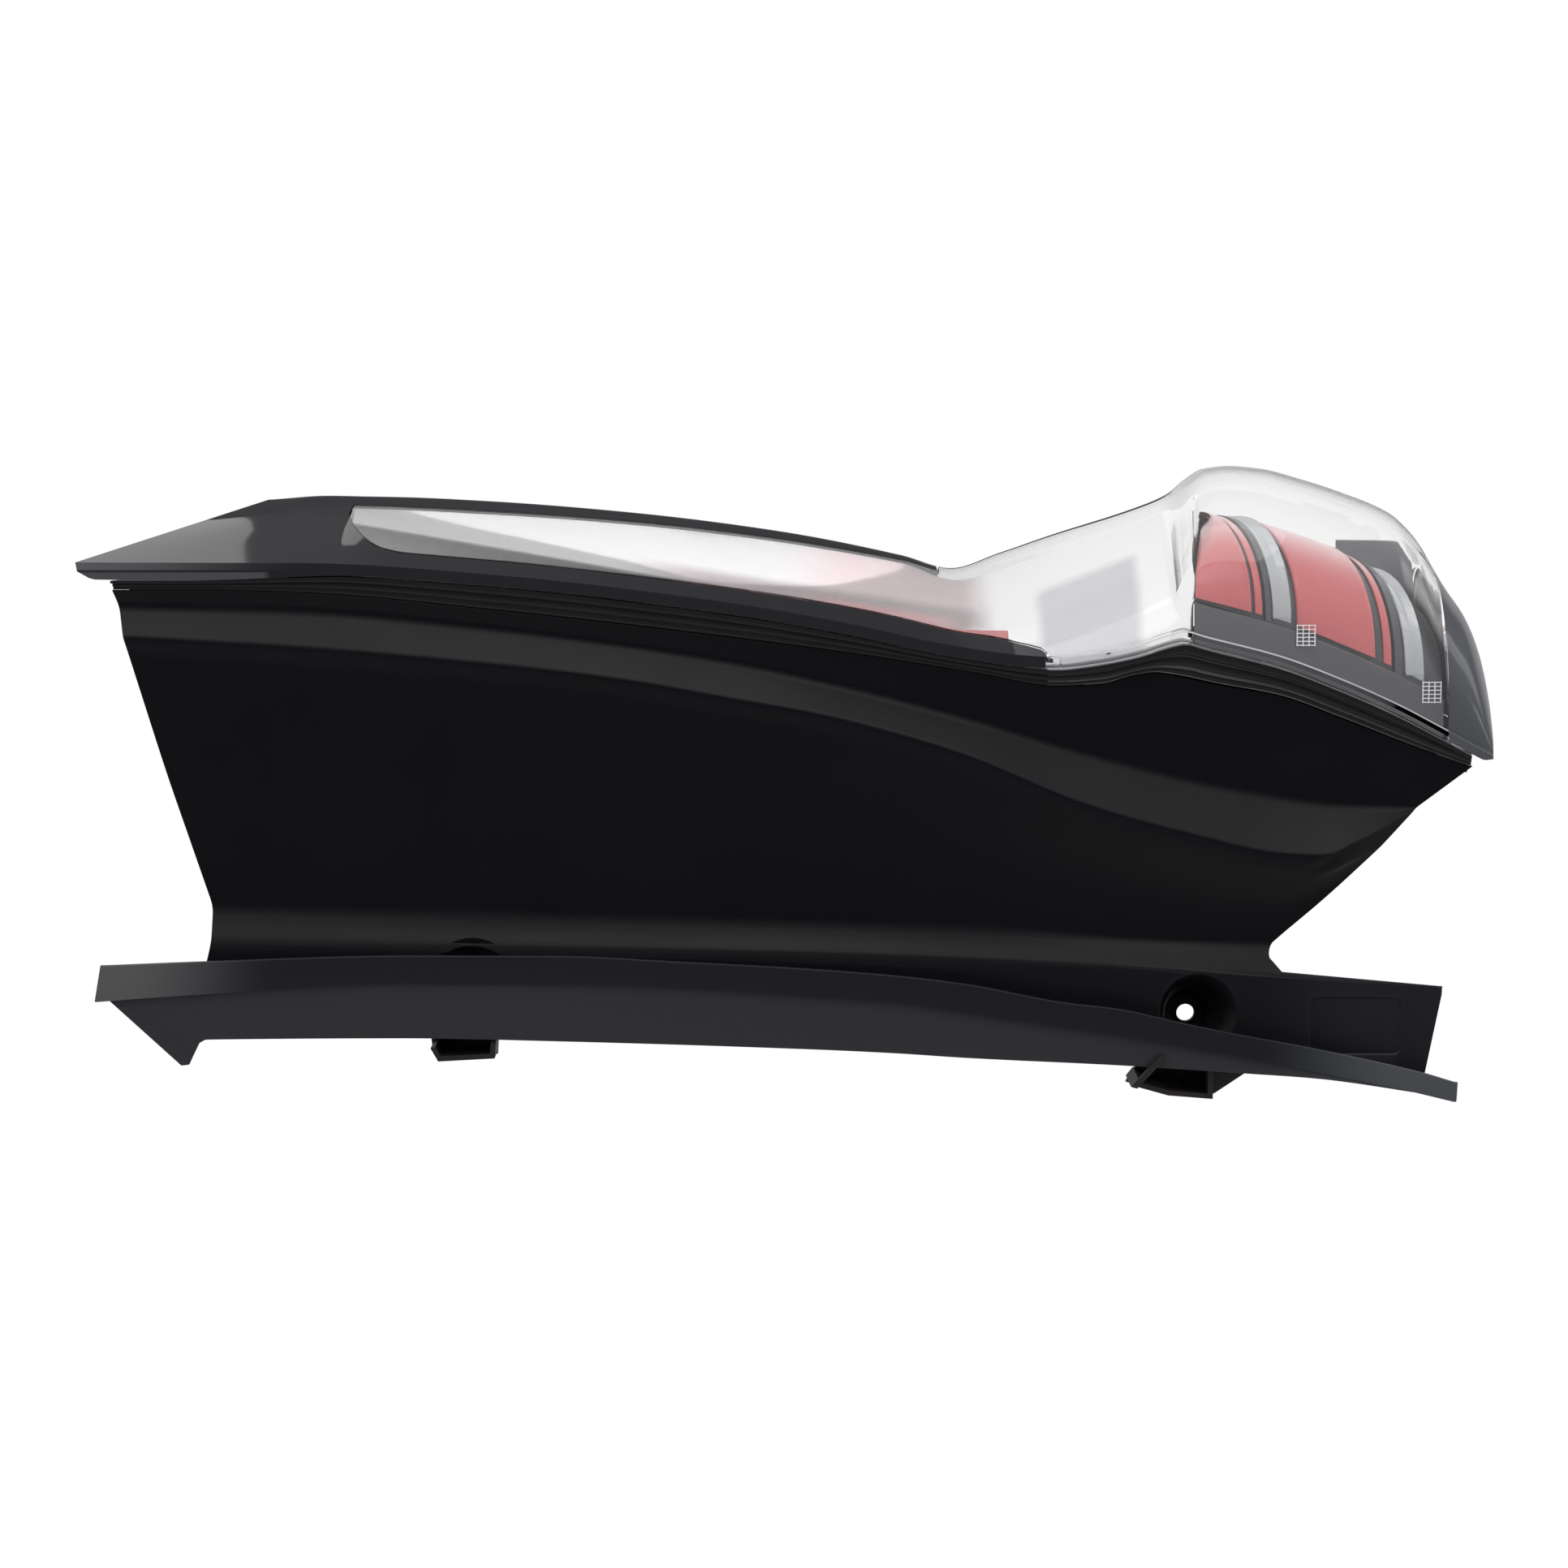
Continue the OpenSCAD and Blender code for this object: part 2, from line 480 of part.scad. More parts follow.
// Bright reflector under the slim window and the swoop
chrome_stations = concat([-338, -330, -318, -304], span(-286, -116, 8),
    [-100, -84, -68, -52, -36, -20, -8, 2]);
chrome_shares = [0, 0.1, 0.15, 0.22, 0.34, 0.44, 0.52, 0.59, 0.65, 0.8, 1];
chrome_wall = 1.6;
// Depth of the reflector under the lens, and its distance from the housing's far wall
chrome_depth = 8.2;
chrome_far = far_wall_in + housing_wall + 2.1;
function chrome_row(x, inside) =
    let(side = housing_set_back + housing_wall + gap, back = curve(far_across, x) - chrome_far,
        w = inside ? chrome_wall : 0)
    concat([inset(x, side + w, flange_top(x) - 9), inset(x, side + w, flange_top(x) - 3 - w)],
        [for (s = chrome_shares) chrome_point(x, mix(side + 0.4 + w, back - 2 - w, s), s, w)],
        [inset(x, back - w, curve(far_edge, x) - 6)]);
// The bowl starts behind the red strip's shelf and climbs to the window's far edge.
shelf_end = 25;
function bowl(u) = (1 - pow(u, 3)) * (1 - pow(1 - u, 6));
function chrome_point(x, y, s, w) =
    let(top = lens_height(x + curve(light_slant, x) * y, y),
        u = max(0, min(1, (y - shelf_end) / (curve(window_far, x) - 3 - shelf_end))))
    inset(x, y, top - w - mix(chrome_depth, curve(far_rise, x), u) - curve(trough, x) * bowl(u));
function inset(x, y, z) = [x + curve(light_slant, x) * y, y, z];
// Room round the bulb where it comes through the reflector
bulb_clear = 3;
module chrome_bezel() {
    color([0.85, 0.85, 0.87])
    difference() {
        sheet([for (x = chrome_stations) chrome_row(x, false)],
            [for (x = chrome_stations) chrome_row(x, true)]);
        translate([bulb_x, bulb_y, flat_floor_1])
            cylinder(h = curve(crest_height, bulb_x) - flat_floor_1, r = bulb_r + bulb_clear, $fn = 48);
    }
}

// Dark grey bezel of the bulge: the foot band and the arch that carries the lights
bezel_start = 2 + gap;
bezel_end = 101.6;
bezel_wall = 1.8;
light_drop = 20.3;
light_foot = 12.2;
light_near = 8.9;
arch_shares = [0, 0.06, 0.13, 0.2, 0.28, 0.36, 0.44, 0.5, 0.6, 0.7, 0.8];
bezel_stations = concat([bezel_start, 5, 8, 14, 20, 26, 28, 32, 32.6, 34.6, 35.2], span(42.6, 74.6, 4),
    [79, 83.2, 83.8, 86.8, 87.4, 96, bezel_end]);
// Two ridges in the bezel, left of each ribbed bar
ridge_h = 1.4;
bezel_lift = [[32, 0], [32.6, ridge_h], [34.6, ridge_h], [35.2, 0], [83.2, 0], [83.8, ridge_h],
    [86.8, ridge_h], [87.4, 0]];
function light_arch(x, t, out) =
    let(c = arch([light_near - out, curve(near_edge, x) + light_foot],
        [curve(crest_across, x), curve(crest_height, x) - light_drop + out],
        [curve(far_across, x) - 14 + out, curve(far_edge, x) + 4], 2.2, 2, t))
    inset(x, c[0], c[1]);
function bezel_row(x, inside) =
    let(n = curve(near_edge, x + curve(light_slant, x) * 5), w = inside ? bezel_wall : 0)
    concat([inset(x, 4.7 + w, n - lens_foot + 0.2), inset(x, 4.7 + w, n - 1),
        inset(x, 5.4 + w, n + 10.4 - w), inset(x, 6 + w, n + 11.4 - w)],
        [for (t = arch_shares) light_arch(x, t, curve(bezel_lift, x) - w)]);
module bulge_bezel() {
    color([0.38, 0.4, 0.42])
    sheet([for (x = bezel_stations) bezel_row(x, false)],
        [for (x = bezel_stations) bezel_row(x, true)]);
}

// Red C-shaped covers and ribbed bars stand on the bezel's arch.
red_1 = [5.5, 27];
red_2 = [45, 76];
bar_1 = [35.5, 42.5];
bar_2 = [88, 95];
light_shares = [0.01, 0.05, 0.1, 0.16, 0.22, 0.3, 0.38, 0.46, 0.52, 0.6];
// A narrow red band lies in the groove between each cover and the ridge.
band_1 = [28.4, 31.4];
band_2 = [79.4, 82.6];
band_t = 0.8;
module on_arch(range, t_out) {
    stations = concat(range[0], [for (x = bezel_stations) if (x > range[0] + 1 && x < range[1] - 1) x],
        range[1]);
    sheet([for (x = stations) [for (t = light_shares) light_arch(x, t, gap + t_out)]],
        [for (x = stations) [for (t = light_shares) light_arch(x, t, gap)]]);
}
module red_inner_lens(range, band) {
    color([0.75, 0.12, 0.12]) {
        on_arch(range, red_wall);
        on_arch(band, band_t);
    }
}
module red_inner_lens_1() red_inner_lens(red_1, band_1);
module red_inner_lens_2() red_inner_lens(red_2, band_2);

// A bar whose top is a row of fine V-shaped ribs across it
bar_wall = 1.2;
module light_bar(range) {
    shares = [for (a = [rib_pitch : rib_pitch / 2 : 100]) a / 180];
    tooth = [for (k = [0 : len(shares) - 1]) bar_wall + (k % 2) * rib_h];
    color([0.75, 0.78, 0.8])
    sheet([for (x = range) [for (k = [0 : len(shares) - 1]) light_arch(x, shares[k], gap + tooth[k])]],
        [for (x = range) [for (t = shares) light_arch(x, t, gap)]]);
}
module light_bar_1() light_bar(bar_1);
module light_bar_2() light_bar(bar_2);

// Small clear pads with a raised grid in front of the foot band
pad_w = 7.6;
pad_h = 8.4;
pad_t = 0.5;
pad_columns = 5;
pad_rows = 3;
pad_rib = 0.4;
module optic_pad(x) {
    color([0.85, 0.87, 0.88])
    translate([x, 3.9, curve(near_edge, x + pad_w / 2) + 2]) {
        cube([pad_w, pad_t, pad_h]);
        for (k = [0 : pad_columns])
            translate([k * (pad_w - pad_rib) / pad_columns, -0.4, 0]) cube([pad_rib, 0.6, pad_h]);
        for (k = [0 : pad_rows])
            translate([0, -0.4, k * (pad_h - pad_rib) / pad_rows]) cube([pad_w, 0.6, pad_rib]);
    }
}
module optic_pad_1() optic_pad(42.8);
module optic_pad_2() optic_pad(92.6);

// Red strip along the near edge of the slim window
strip_stations = concat(span(-282, -90, 10), [-78, -70]);
strip_far = [[-282, 17], [-160, 18], [-130, 22], [-90, 24], [-70, 20]];
strip_t = 1.4;
strip_gap = 0.8;
module red_reflex_strip() {
    row = function(x, d) [for (f = [0, 0.5, 1]) let(y = mix(14.6, curve(strip_far, x), f))
        [x, y, lens_height(x, y) - chrome_depth + strip_gap + d]];
    color([0.7, 0.15, 0.15])
    sheet([for (x = strip_stations) row(x, strip_t)], [for (x = strip_stations) row(x, 0)]);
}

// Boards with their light sources on finned heat sinks that stand on the tub floor
board_place = [12, 56];
board_y = 36;
board_l = 52;
sink_top = 140;
chip = 3;
chip_h = 0.8;
module led_board(x) {
    color([0.1, 0.35, 0.2])
    translate([x, board_y, sink_top + gap]) cube([board_w, board_l, board_t]);
}
module led_board_1() led_board(board_place[0]);
module led_board_2() led_board(board_place[1]);
module led_chips() {
    color([0.95, 0.9, 0.6])
    for (x = board_place) for (k = [0 : 4])
        translate([x + (board_w - chip) / 2, board_y + 6 + k * (board_l - 12 - chip) / 4,
            sink_top + gap + board_t]) cube([chip, chip, chip_h]);
}
module heat_sink(x) {
    base = flat_floor_2 + housing_wall + gap;
    color([0.6, 0.61, 0.63]) {
        translate([x, board_y, base]) cube([board_w, board_l, 3]);
        translate([x, board_y, sink_top - 3]) cube([board_w, board_l, 3]);
        for (k = [0 : 4])
            translate([x, board_y + k * (board_l - 2) / 4, base]) cube([board_w, 2, sink_top - base]);
    }
}
module heat_sink_1() heat_sink(board_place[0]);
module heat_sink_2() heat_sink(board_place[1]);

// Bulb, its holder through the tub floor and the ring seal between them
holder_flange = 4;
holder_rise = 13;
seal_t = 2.5;
// Grip bar across the back of the holder
grip_l = 2 * holder_flange_r + 8;
grip_w = 10;
grip_h = 8;
// The bulb's foot stands in the holder; its neck is a little thinner than its glass
bulb_foot = flat_floor_1 + 2;
bulb_neck_r = bulb_r - 1;
bulb_h = 38;
module at_bulb() translate([bulb_x, bulb_y, 0]) children();
module turn_socket() {
    under = flat_floor_1 - seal_t - holder_flange;
    color([0.15, 0.15, 0.16])
    at_bulb() difference() {
        union() {
            translate([0, 0, under]) cylinder(h = holder_flange, r = holder_flange_r, $fn = 64);
            translate([0, 0, under + holder_flange - 1])
                cylinder(h = seal_t + holder_rise, r = holder_r, $fn = 64);
            translate([-grip_l / 2, -grip_w / 2, under - grip_h])
                cube([grip_l, grip_w, grip_h + 1]);
        }
        translate([0, 0, bulb_foot]) cylinder(h = holder_rise, r = bulb_neck_r + gap, $fn = 64);
    }
}
module turn_seal() {
    color([0.2, 0.2, 0.2])
    at_bulb() translate([0, 0, flat_floor_1 - seal_t]) difference() {
        cylinder(h = seal_t, r = holder_flange_r - 1, $fn = 64);
        translate([0, 0, -1]) cylinder(h = seal_t + 2, r = holder_r, $fn = 64);
    }
}
module turn_bulb() {
    color([0.95, 0.75, 0.4])
    at_bulb() {
        translate([0, 0, bulb_foot]) cylinder(h = bulb_h, r = bulb_neck_r, $fn = 48);
        translate([0, 0, bulb_foot + bulb_h]) sphere(r = bulb_r, $fn = 48);
    }
}

// Electronics box with cooling ribs on the back of the tub
driver_place = [-6, 40];
driver_size = [58, 44, 12];
module driver_module() {
    top = flat_floor_2 - gap;
    color([0.5, 0.51, 0.53])
    translate([driver_place[0], driver_place[1], top - driver_size[2]]) {
        cube(driver_size);
        translate([-7, 14, driver_size[2] - 3]) cube([driver_size[0] + 14, 16, 3]);
        for (k = [0 : 6])
            translate([4 + k * (driver_size[0] - 10) / 6, 4, -3]) cube([2, driver_size[1] - 8, 4]);
    }
}

// Connector inlet whose mouth faces away from the lens, with its flange and contacts
inlet_place = [-52, 50];
module connector_socket() {
    top = flat_floor_2 - gap;
    color([0.12, 0.12, 0.13])
    translate([inlet_place[0], inlet_place[1], top - inlet_h]) difference() {
        union() {
            cube([inlet_l, inlet_w, inlet_h]);
            translate([-3, -3, inlet_h - 2.5]) cube([inlet_l + 6, inlet_w + 6, 2.5]);
            translate([inlet_l / 2 - 4, -2.5, 2]) cube([8, 3, 8]);
        }
        translate([inlet_wall, inlet_wall, -1])
            cube([inlet_l - 2 * inlet_wall, inlet_w - 2 * inlet_wall, inlet_h - 2]);
    }
}
contacts = 6;
contact_l = 10;
module connector_pins() {
    color([0.8, 0.7, 0.4])
    for (k = [0 : contacts - 1])
        translate([inlet_place[0] + inlet_wall + 3 + k * (inlet_l - 2 * inlet_wall - 7) / (contacts - 1),
            inlet_place[1] + (inlet_w - 1) / 2, flat_floor_2 - gap - 3 - contact_l])
            cube([1, 1, contact_l]);
}

// Breather with a knurled rim
module vent_cap() {
    vent_r = 9;
    color([0.1, 0.1, 0.1])
    translate([-238, bulb_y, flat_floor_1 - gap]) {
        translate([0, 0, -6]) cylinder(h = 6, r = vent_r, $fn = 48);
        for (a = [0 : 30 : 330])
            rotate(a) translate([vent_r - 1, -1, -6]) cube([2, 2, 5]);
    }
}

// Foam ring between the tub and the bodywork
seal_box = [96, 62];
foam_w = 7;
foam_t = 4;
module body_seal() {
    color([0.25, 0.25, 0.26])
    translate([bulb_x - seal_box[0] / 2 + 14, bulb_y - seal_box[1] / 2, flat_floor_1 - gap - foam_t])
    linear_extrude(foam_t) difference() {
        square(seal_box);
        translate([foam_w, foam_w]) square([seal_box[0] - 2 * foam_w, seal_box[1] - 2 * foam_w]);
    }
}

// Guide pins on arms under the outboard flange
guide_boss = 6;
arm_w = 16;
nose = 4;
// The flange falls away by this much over half the arm's width
under_slope = 2.6;
module locating_pin(x) {
    y = curve(far_across, x);
    z = curve(far_edge, x) - 2 * gap - far_flange - under_slope;
    color([0.12, 0.12, 0.13]) {
        translate([x - arm_w / 2, y - far_wall_in + 0.7, z - guide_boss])
            cube([arm_w, far_wall_in - 0.7 + guide_out + guide_r + 2, guide_boss]);
        translate([x, y + guide_out, z - guide_boss - guide_l - nose])
            rotate_extrude($fn = 48)
            polygon([[0, 0], [guide_r - 2, 0], [guide_r, nose], [guide_r, guide_l + nose + 1],
                [0, guide_l + nose + 1]]);
    }
}
module locating_pin_1() locating_pin(-300);
module locating_pin_2() locating_pin(50);

// Steel brackets that the bolts clamp behind the pockets
bracket_top = 13;
module bracket_plate(left, low) {
    difference() {
        translate([left, pocket_floor / 2, low])
            cube([bracket_w, bracket_wall, bracket_top - low]);
        on_bolt(0, 0, -pocket_floor / 2 - bracket_wall - 1)
            cylinder(h = bracket_wall + 2, r = bracket_hole_r, $fn = 48);
    }
}
tray_reach = 19;
// A shape that stands between two distances in front of the plate's back face
module bracket_sheet(points, reach = 0) {
    back = pocket_floor / 2 + bracket_wall;
    translate([0, back, 0]) rotate([90, 0, 0])
    linear_extrude(max(bracket_wall, back + reach)) polygon(points);
}
skirt_1 = [[-13.5, -12], [-13.5, -20.5], [-12.9, -26], [-9.5, -30], [13, -28.8], [13.5, -20.5],
    [13.5, -12]];
tray_1 = [[-12.2, -23.5], [-9.2, -28.7], [13, -27.5], [13.5, -21], [11.5, -21], [11.1, -25.6],
    [-8.3, -26.6], [-10.3, -22.7]];
module fixing_bracket_1() {
    color([0.12, 0.12, 0.12])
    translate([lower_bolt_x, 0, lower_bolt_z]) {
        bracket_plate(-bracket_w / 2, -bracket_top);
        bracket_sheet(skirt_1);
        bracket_sheet(tray_1, tray_reach);
    }
}
wing_2 = [[-23.2, -28], [-19.5, -22], [-13, -16], [28, -16], [27.5, -22.2], [12, -32.6],
    [9.8, -33.2], [-8, -31.8]];
tray_2 = [[-23, -26], [-8, -30.2], [9.6, -31.6], [9.6, -20], [7.6, -20], [7.6, -29.5],
    [-7.6, -28.2], [-21.4, -24.4]];
link_2 = [[-23, -25.9], [-20.6, -26.6], [-18, -23.7], [-20.3, -22.5]];
lip_2 = [[-23, -25.9], [-20.6, -26.6], [-9.6, -14.8], [-11.4, -13.2]];
module fixing_bracket_2() {
    lip_front = gap - rail_front;
    color([0.12, 0.12, 0.12]) {
        bracket_plate(-bracket_w / 2 + 1, -20);
        bracket_sheet(wing_2);
        bracket_sheet(tray_2, tray_reach);
        bracket_sheet(link_2, lip_front);
        translate([0, bracket_wall - lip_front - 0.6, 0]) rotate([90, 0, 0])
            linear_extrude(bracket_wall - 0.6) polygon(lip_2);
    }
}

// Clips between the back of the panel and the tub
clip_r = 3.5;
clip_places = [-375, -240, -105, 40];
module panel_clips() {
    color([0.7, 0.7, 0.68])
    for (x = clip_places)
        translate([x, housing_set_back - gap, curve(crease_1, x) + 1.5]) rotate([90, 0, 0])
            cylinder(h = housing_set_back - 4 - panel_wall - 2 * gap, r = clip_r, $fn = 24);
}

outer_lens();
gloss_garnish();
end_cap();
rear_housing();
side_panel();
chrome_bezel();
bulge_bezel();
red_reflex_strip();
red_inner_lens_1();
red_inner_lens_2();
light_bar_1();
light_bar_2();
optic_pad_1();
optic_pad_2();
led_board_1();
led_board_2();
led_chips();
heat_sink_1();
heat_sink_2();
turn_bulb();
turn_socket();
turn_seal();
driver_module();
connector_socket();
connector_pins();
vent_cap();
body_seal();
locating_pin_1();
locating_pin_2();
fixing_bracket_1();
fixing_bracket_2();
panel_clips();
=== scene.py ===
import json
import math

import bpy
import bmesh
import numpy as np
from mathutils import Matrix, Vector
from mathutils.geometry import tessellate_polygon


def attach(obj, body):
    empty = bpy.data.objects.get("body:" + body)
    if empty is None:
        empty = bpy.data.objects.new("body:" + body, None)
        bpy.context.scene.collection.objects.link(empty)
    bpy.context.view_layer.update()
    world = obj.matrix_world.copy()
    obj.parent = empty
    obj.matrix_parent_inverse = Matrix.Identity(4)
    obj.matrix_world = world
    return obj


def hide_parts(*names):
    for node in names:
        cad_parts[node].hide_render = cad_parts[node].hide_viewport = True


bl_info = {
    "name": "Rear combination lamp",
    "version": (1, 0, 0),
    "blender": (4, 5, 0),
    "location": "View3D > Sidebar > Lamp",
    "description": "Builds the looks of a rear combination lamp round its packed CAD frame",
    "category": "Object",
}

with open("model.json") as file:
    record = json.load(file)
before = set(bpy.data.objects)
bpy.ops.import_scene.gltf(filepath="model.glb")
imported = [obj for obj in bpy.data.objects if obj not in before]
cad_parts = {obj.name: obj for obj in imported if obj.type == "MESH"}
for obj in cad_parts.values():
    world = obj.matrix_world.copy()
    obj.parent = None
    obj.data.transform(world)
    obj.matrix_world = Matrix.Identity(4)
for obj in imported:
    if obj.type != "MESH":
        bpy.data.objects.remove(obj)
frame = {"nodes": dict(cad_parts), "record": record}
MM = 0.001

# The photo's view: what the camera looks at in metres, and its lens and sensor in millimetres
TARGET = (-0.158914, 0, 0.090893)
SENSOR = 36
CAMERA_LENS = 5625 / 1932 * SENSOR

# Driving sizes in millimetres, the same as the CAD's
LENS_WALL = 2.4
LENS_FOOT = 4.6
LENS_LIP = 2.2
GAP = 0.3
GARNISH_WALL = 2.5
WINDOW_GAP = 0.4
HOUSING_WALL = 2.5
SET_BACK = 11.0
FAR_FLANGE = 3.5
PANEL_WALL = 2.6
RAIL_REACH = 10.5
RAIL_WALL = 2.4
FLANGE_STEP = 1.5
POCKET_FLOOR = 3.0
POCKET_DEPTH = 12.0
POCKET_FLOOR_R = 7.25
POCKET_MOUTH_R = 15.0
POCKET_WALL = 2.4
BOLT_R = 3.5
LOWER_BOLT = (-285.5, 12.0)
RED_WALL = 1.8

# Shape of the lens, as places along the lamp and the value there
NEAR_EDGE = [(-437, 178.3), (-346, 178), (-275, 173.6), (-180, 162.4), (-131, 153.8), (-98, 146.6),
             (-65, 141.8), (-52, 141.1), (-36, 142.8), (-20, 146), (-7, 150.2), (-1, 151.5), (6, 149.6),
             (36, 141.8), (60, 132.8), (83, 122.6), (100, 113.7), (121, 102.6)]
CREST_HEIGHT = [(-437, 198.8), (-370, 200.3), (-350, 200.2), (-320, 199.8), (-280, 198), (-220, 193.2),
                (-160, 185.6), (-110, 175.8), (-90, 170.5), (-70, 177), (-50, 184.3), (-10, 198.2),
                (-2, 202.2), (5, 208.2), (12, 212.4), (22, 213.5), (35, 212.4), (50, 208.6),
                (69, 202.4), (86, 195.2), (96, 185.8), (102, 175.9), (108, 164.5), (113, 154),
                (117, 139.5), (120, 120), (120.6, 113)]
CREST_ACROSS = [(-437, 96), (-350, 100), (-90, 96), (-20, 80), (10, 74), (90, 70), (121, 64)]
FAR_ACROSS = [(-437, 108), (-340, 120), (-90, 124), (0, 132), (80, 128), (121, 100)]
FAR_EDGE = [(-437, 176), (-372, 184), (-280, 182), (-160, 168), (-90, 150), (0, 146), (100, 116),
            (121, 102)]
FULLNESS = [(-437, 1), (-380, 1.2), (-275, 1.2), (-100, 1.3), (-60, 1.35), (-6, 1.4), (6, 2.3),
            (60, 2.4), (121, 2.2)]
FAR_FULLNESS = 2.0
END_SLANT = [(-437, 0.68), (-350, 0.1), (-330, 0), (98, 0), (103, 0), (121, 0.13)]
LIGHT_SLANT = [(-40, 0), (-10, 0.03), (5, 0.08), (27, -0.2), (90, -0.2), (102, -0.05)]
WINDOW_START = -336.0
WINDOW_END = -56.0
WINDOW_NEAR = [(-336, 62), (-333, 50), (-330, 40), (-324, 25), (-318, 17), (-308, 13), (-276, 12),
               (-180, 10.5), (-115, 11), (-82, 8), (-66, 4), (-56, 1.6)]
WINDOW_FAR = [(-336, 80), (-300, 79), (-220, 81), (-148, 82), (-96, 86), (-40, 70)]
FAR_STRIP_END = -96.0
GARNISH_SIDE = [(-437, 3.6), (-430, 6.8), (-400, 7), (-330, 4.6)]
GARNISH_TIP = [(-437, 4), (-424, 2.5)]
RIBBED = [(-60, 0), (-20, 1)]
TUB_FLOOR = [(-405, 150), (-385, 132), (-340, 112), (-270, 100), (-110, 100), (-70, 84), (82, 84),
             (98, 91)]
TROUGH = [(-338, 2), (-300, 7), (-230, 15), (-190, 19), (-150, 17), (-100, 8), (-66, 1), (2, 0)]
FAR_RISE = [(-116, 5.8), (-64, 8.2)]
RIM_DEPTH = [(-110, 3.1), (-64, 6.5)]

# Lines of the trim panel, top to bottom
PANEL_TOP = [(-423, 167.3), (-390, 167.3), (-346, 166), (-276, 159.6), (-180, 148.6), (-115, 139.7),
             (-82, 134.3), (-52, 129.3), (-34, 130.2), (-21, 133.6), (-13, 134.7), (-2, 133), (12, 130),
             (36, 125.6), (60, 117), (90, 105.4), (112, 97.7)]
CREASE_1 = [(-418, 160.7), (-347, 158.8), (-276, 151.9), (-239, 147.3), (-180, 138.3), (-147, 131.2),
            (-115, 123.5), (-82, 114.5), (-52, 105.5), (-12, 94.6), (6, 90.4), (37, 84.9), (61, 81.8),
            (90, 81)]
CREASE_2 = [(-414, 149.2), (-346, 145.1), (-275, 139.1), (-239, 135.2), (-214, 131.7), (-180, 125.6),
            (-147, 119.9), (-115, 112), (-87, 103.3), (-42, 84.7), (1, 72.5), (37, 64.8), (53, 64.1),
            (65, 68.3), (79, 74.7), (88.5, 79.6)]
CREASE_2_ACROSS = [(-414, -5), (-275, -7), (-115, -9), (0, -12), (53, -12), (72, -6), (88.5, 2)]
SOFT_LINE = [(-384, 43), (-276, 41), (-148, 37), (-87, 35.5), (-13, 29.5), (32, 28.2)]
FLARE_1 = [(-385, 37), (-148, 31), (-50, 27.5), (31, 23.6)]
FLARE_2 = [(-386, 31), (-148, 26), (-50, 22), (37, 17.6)]
BAND_TOP = [(-387, 27.5), (-148, 21.5), (-50, 17.5), (20, 16.5), (60, 14), (102, 11.9)]
RAIL_TOP = [(-424, 22), (-384, 23.6), (-307, 25.8), (-246, 25.6), (-198, 23.3), (-155, 21), (-116, 18),
            (-87, 14.5), (-51, 7.6), (-27, 4.6), (-2, -1), (20, -5.5), (48, -10.7), (91, -20.3),
            (104, -24.2)]
RAIL_FOOT = [(-428, 7.6), (-410, 9), (-336, 13.6), (-307, 14.6), (-283, 14.4), (-222, 13.7),
             (-186, 12.1), (-148, 9.5), (-116, 7.3), (-87, 3), (-27, -5.9), (4, -11.4), (42, -18.4),
             (65, -23.1), (85, -27.4), (104, -32)]
PANEL_FOOT = [(-395, -17.8), (-391.5, -17.3), (-389, -9.8), (-385, -7.5), (-308, -7), (-244, -8.3),
              (-148, -11.4), (-116, -12.9), (-87, -14.8), (-26, -17.8), (24, -21.1), (50, -23),
              (91, -28.8)]
BAND_ACROSS = -POCKET_FLOOR / 2 - POCKET_DEPTH
RAIL_FRONT = BAND_ACROSS - RAIL_REACH
FOOT_ACROSS = RAIL_FRONT + FLANGE_STEP
FIELD = (48, -15, 36, 23)
FIELD_R = 3.0
FIELD_DEPTH = 0.5
MOUTH_OFF = (4, 2)

# Lights in the bulge
LIGHT_DROP = 20.3
LIGHT_FOOT = 12.2
LIGHT_NEAR = 8.9
LIGHT_FAR = 14
LIGHT_FAR_FOOT = 4
LIGHT_FULLNESS = 2.2
BEZEL_START = 2.3
BEZEL_END = 101.6
BEZEL_WALL = 1.8
RED_1 = (2.8, 27)
RED_2 = (45, 76)
BAR_1 = (35.5, 42.5)
BAR_2 = (88, 95)
CHROME_DEPTH = 8.2
CHROME_WALL = 1.6
CHROME_CUTS = (8, 20, 10, 12, 2, 12)
RIM_WIDTH = 0.6
CHROME_FAR = 11.1
SHELF_END = 25
BULB = (-190, 46)
BEZEL_LIFT = [(32, 0), (32.6, 1.4), (34.6, 1.4), (35.2, 0), (83.2, 0), (83.8, 1.4), (86.8, 1.4),
              (87.4, 0)]
BAND_1 = (28.4, 31.4)
BAND_2 = (79.4, 82.6)
BAND_WALL = 0.8
PAD_SIZE = (7.6, 8.4)
PAD_PLACES = (42.8, 92.6)
PAD_LIFT = 7
PAD_ACROSS = 4.0
PAD_EDGE = 0.3
PAD_UPRIGHTS = 4
PAD_GAPS = 5
UPRIGHT_R = 0.21
CROSS_R = 0.2
BACK_PLATE = (66, 99)
BACK_PLATE_ACROSS = (70, 72)
BACK_PLATE_FOOT = 150
BACK_PLATE_TOP = 183.5
BACK_PLATE_GAP = 6


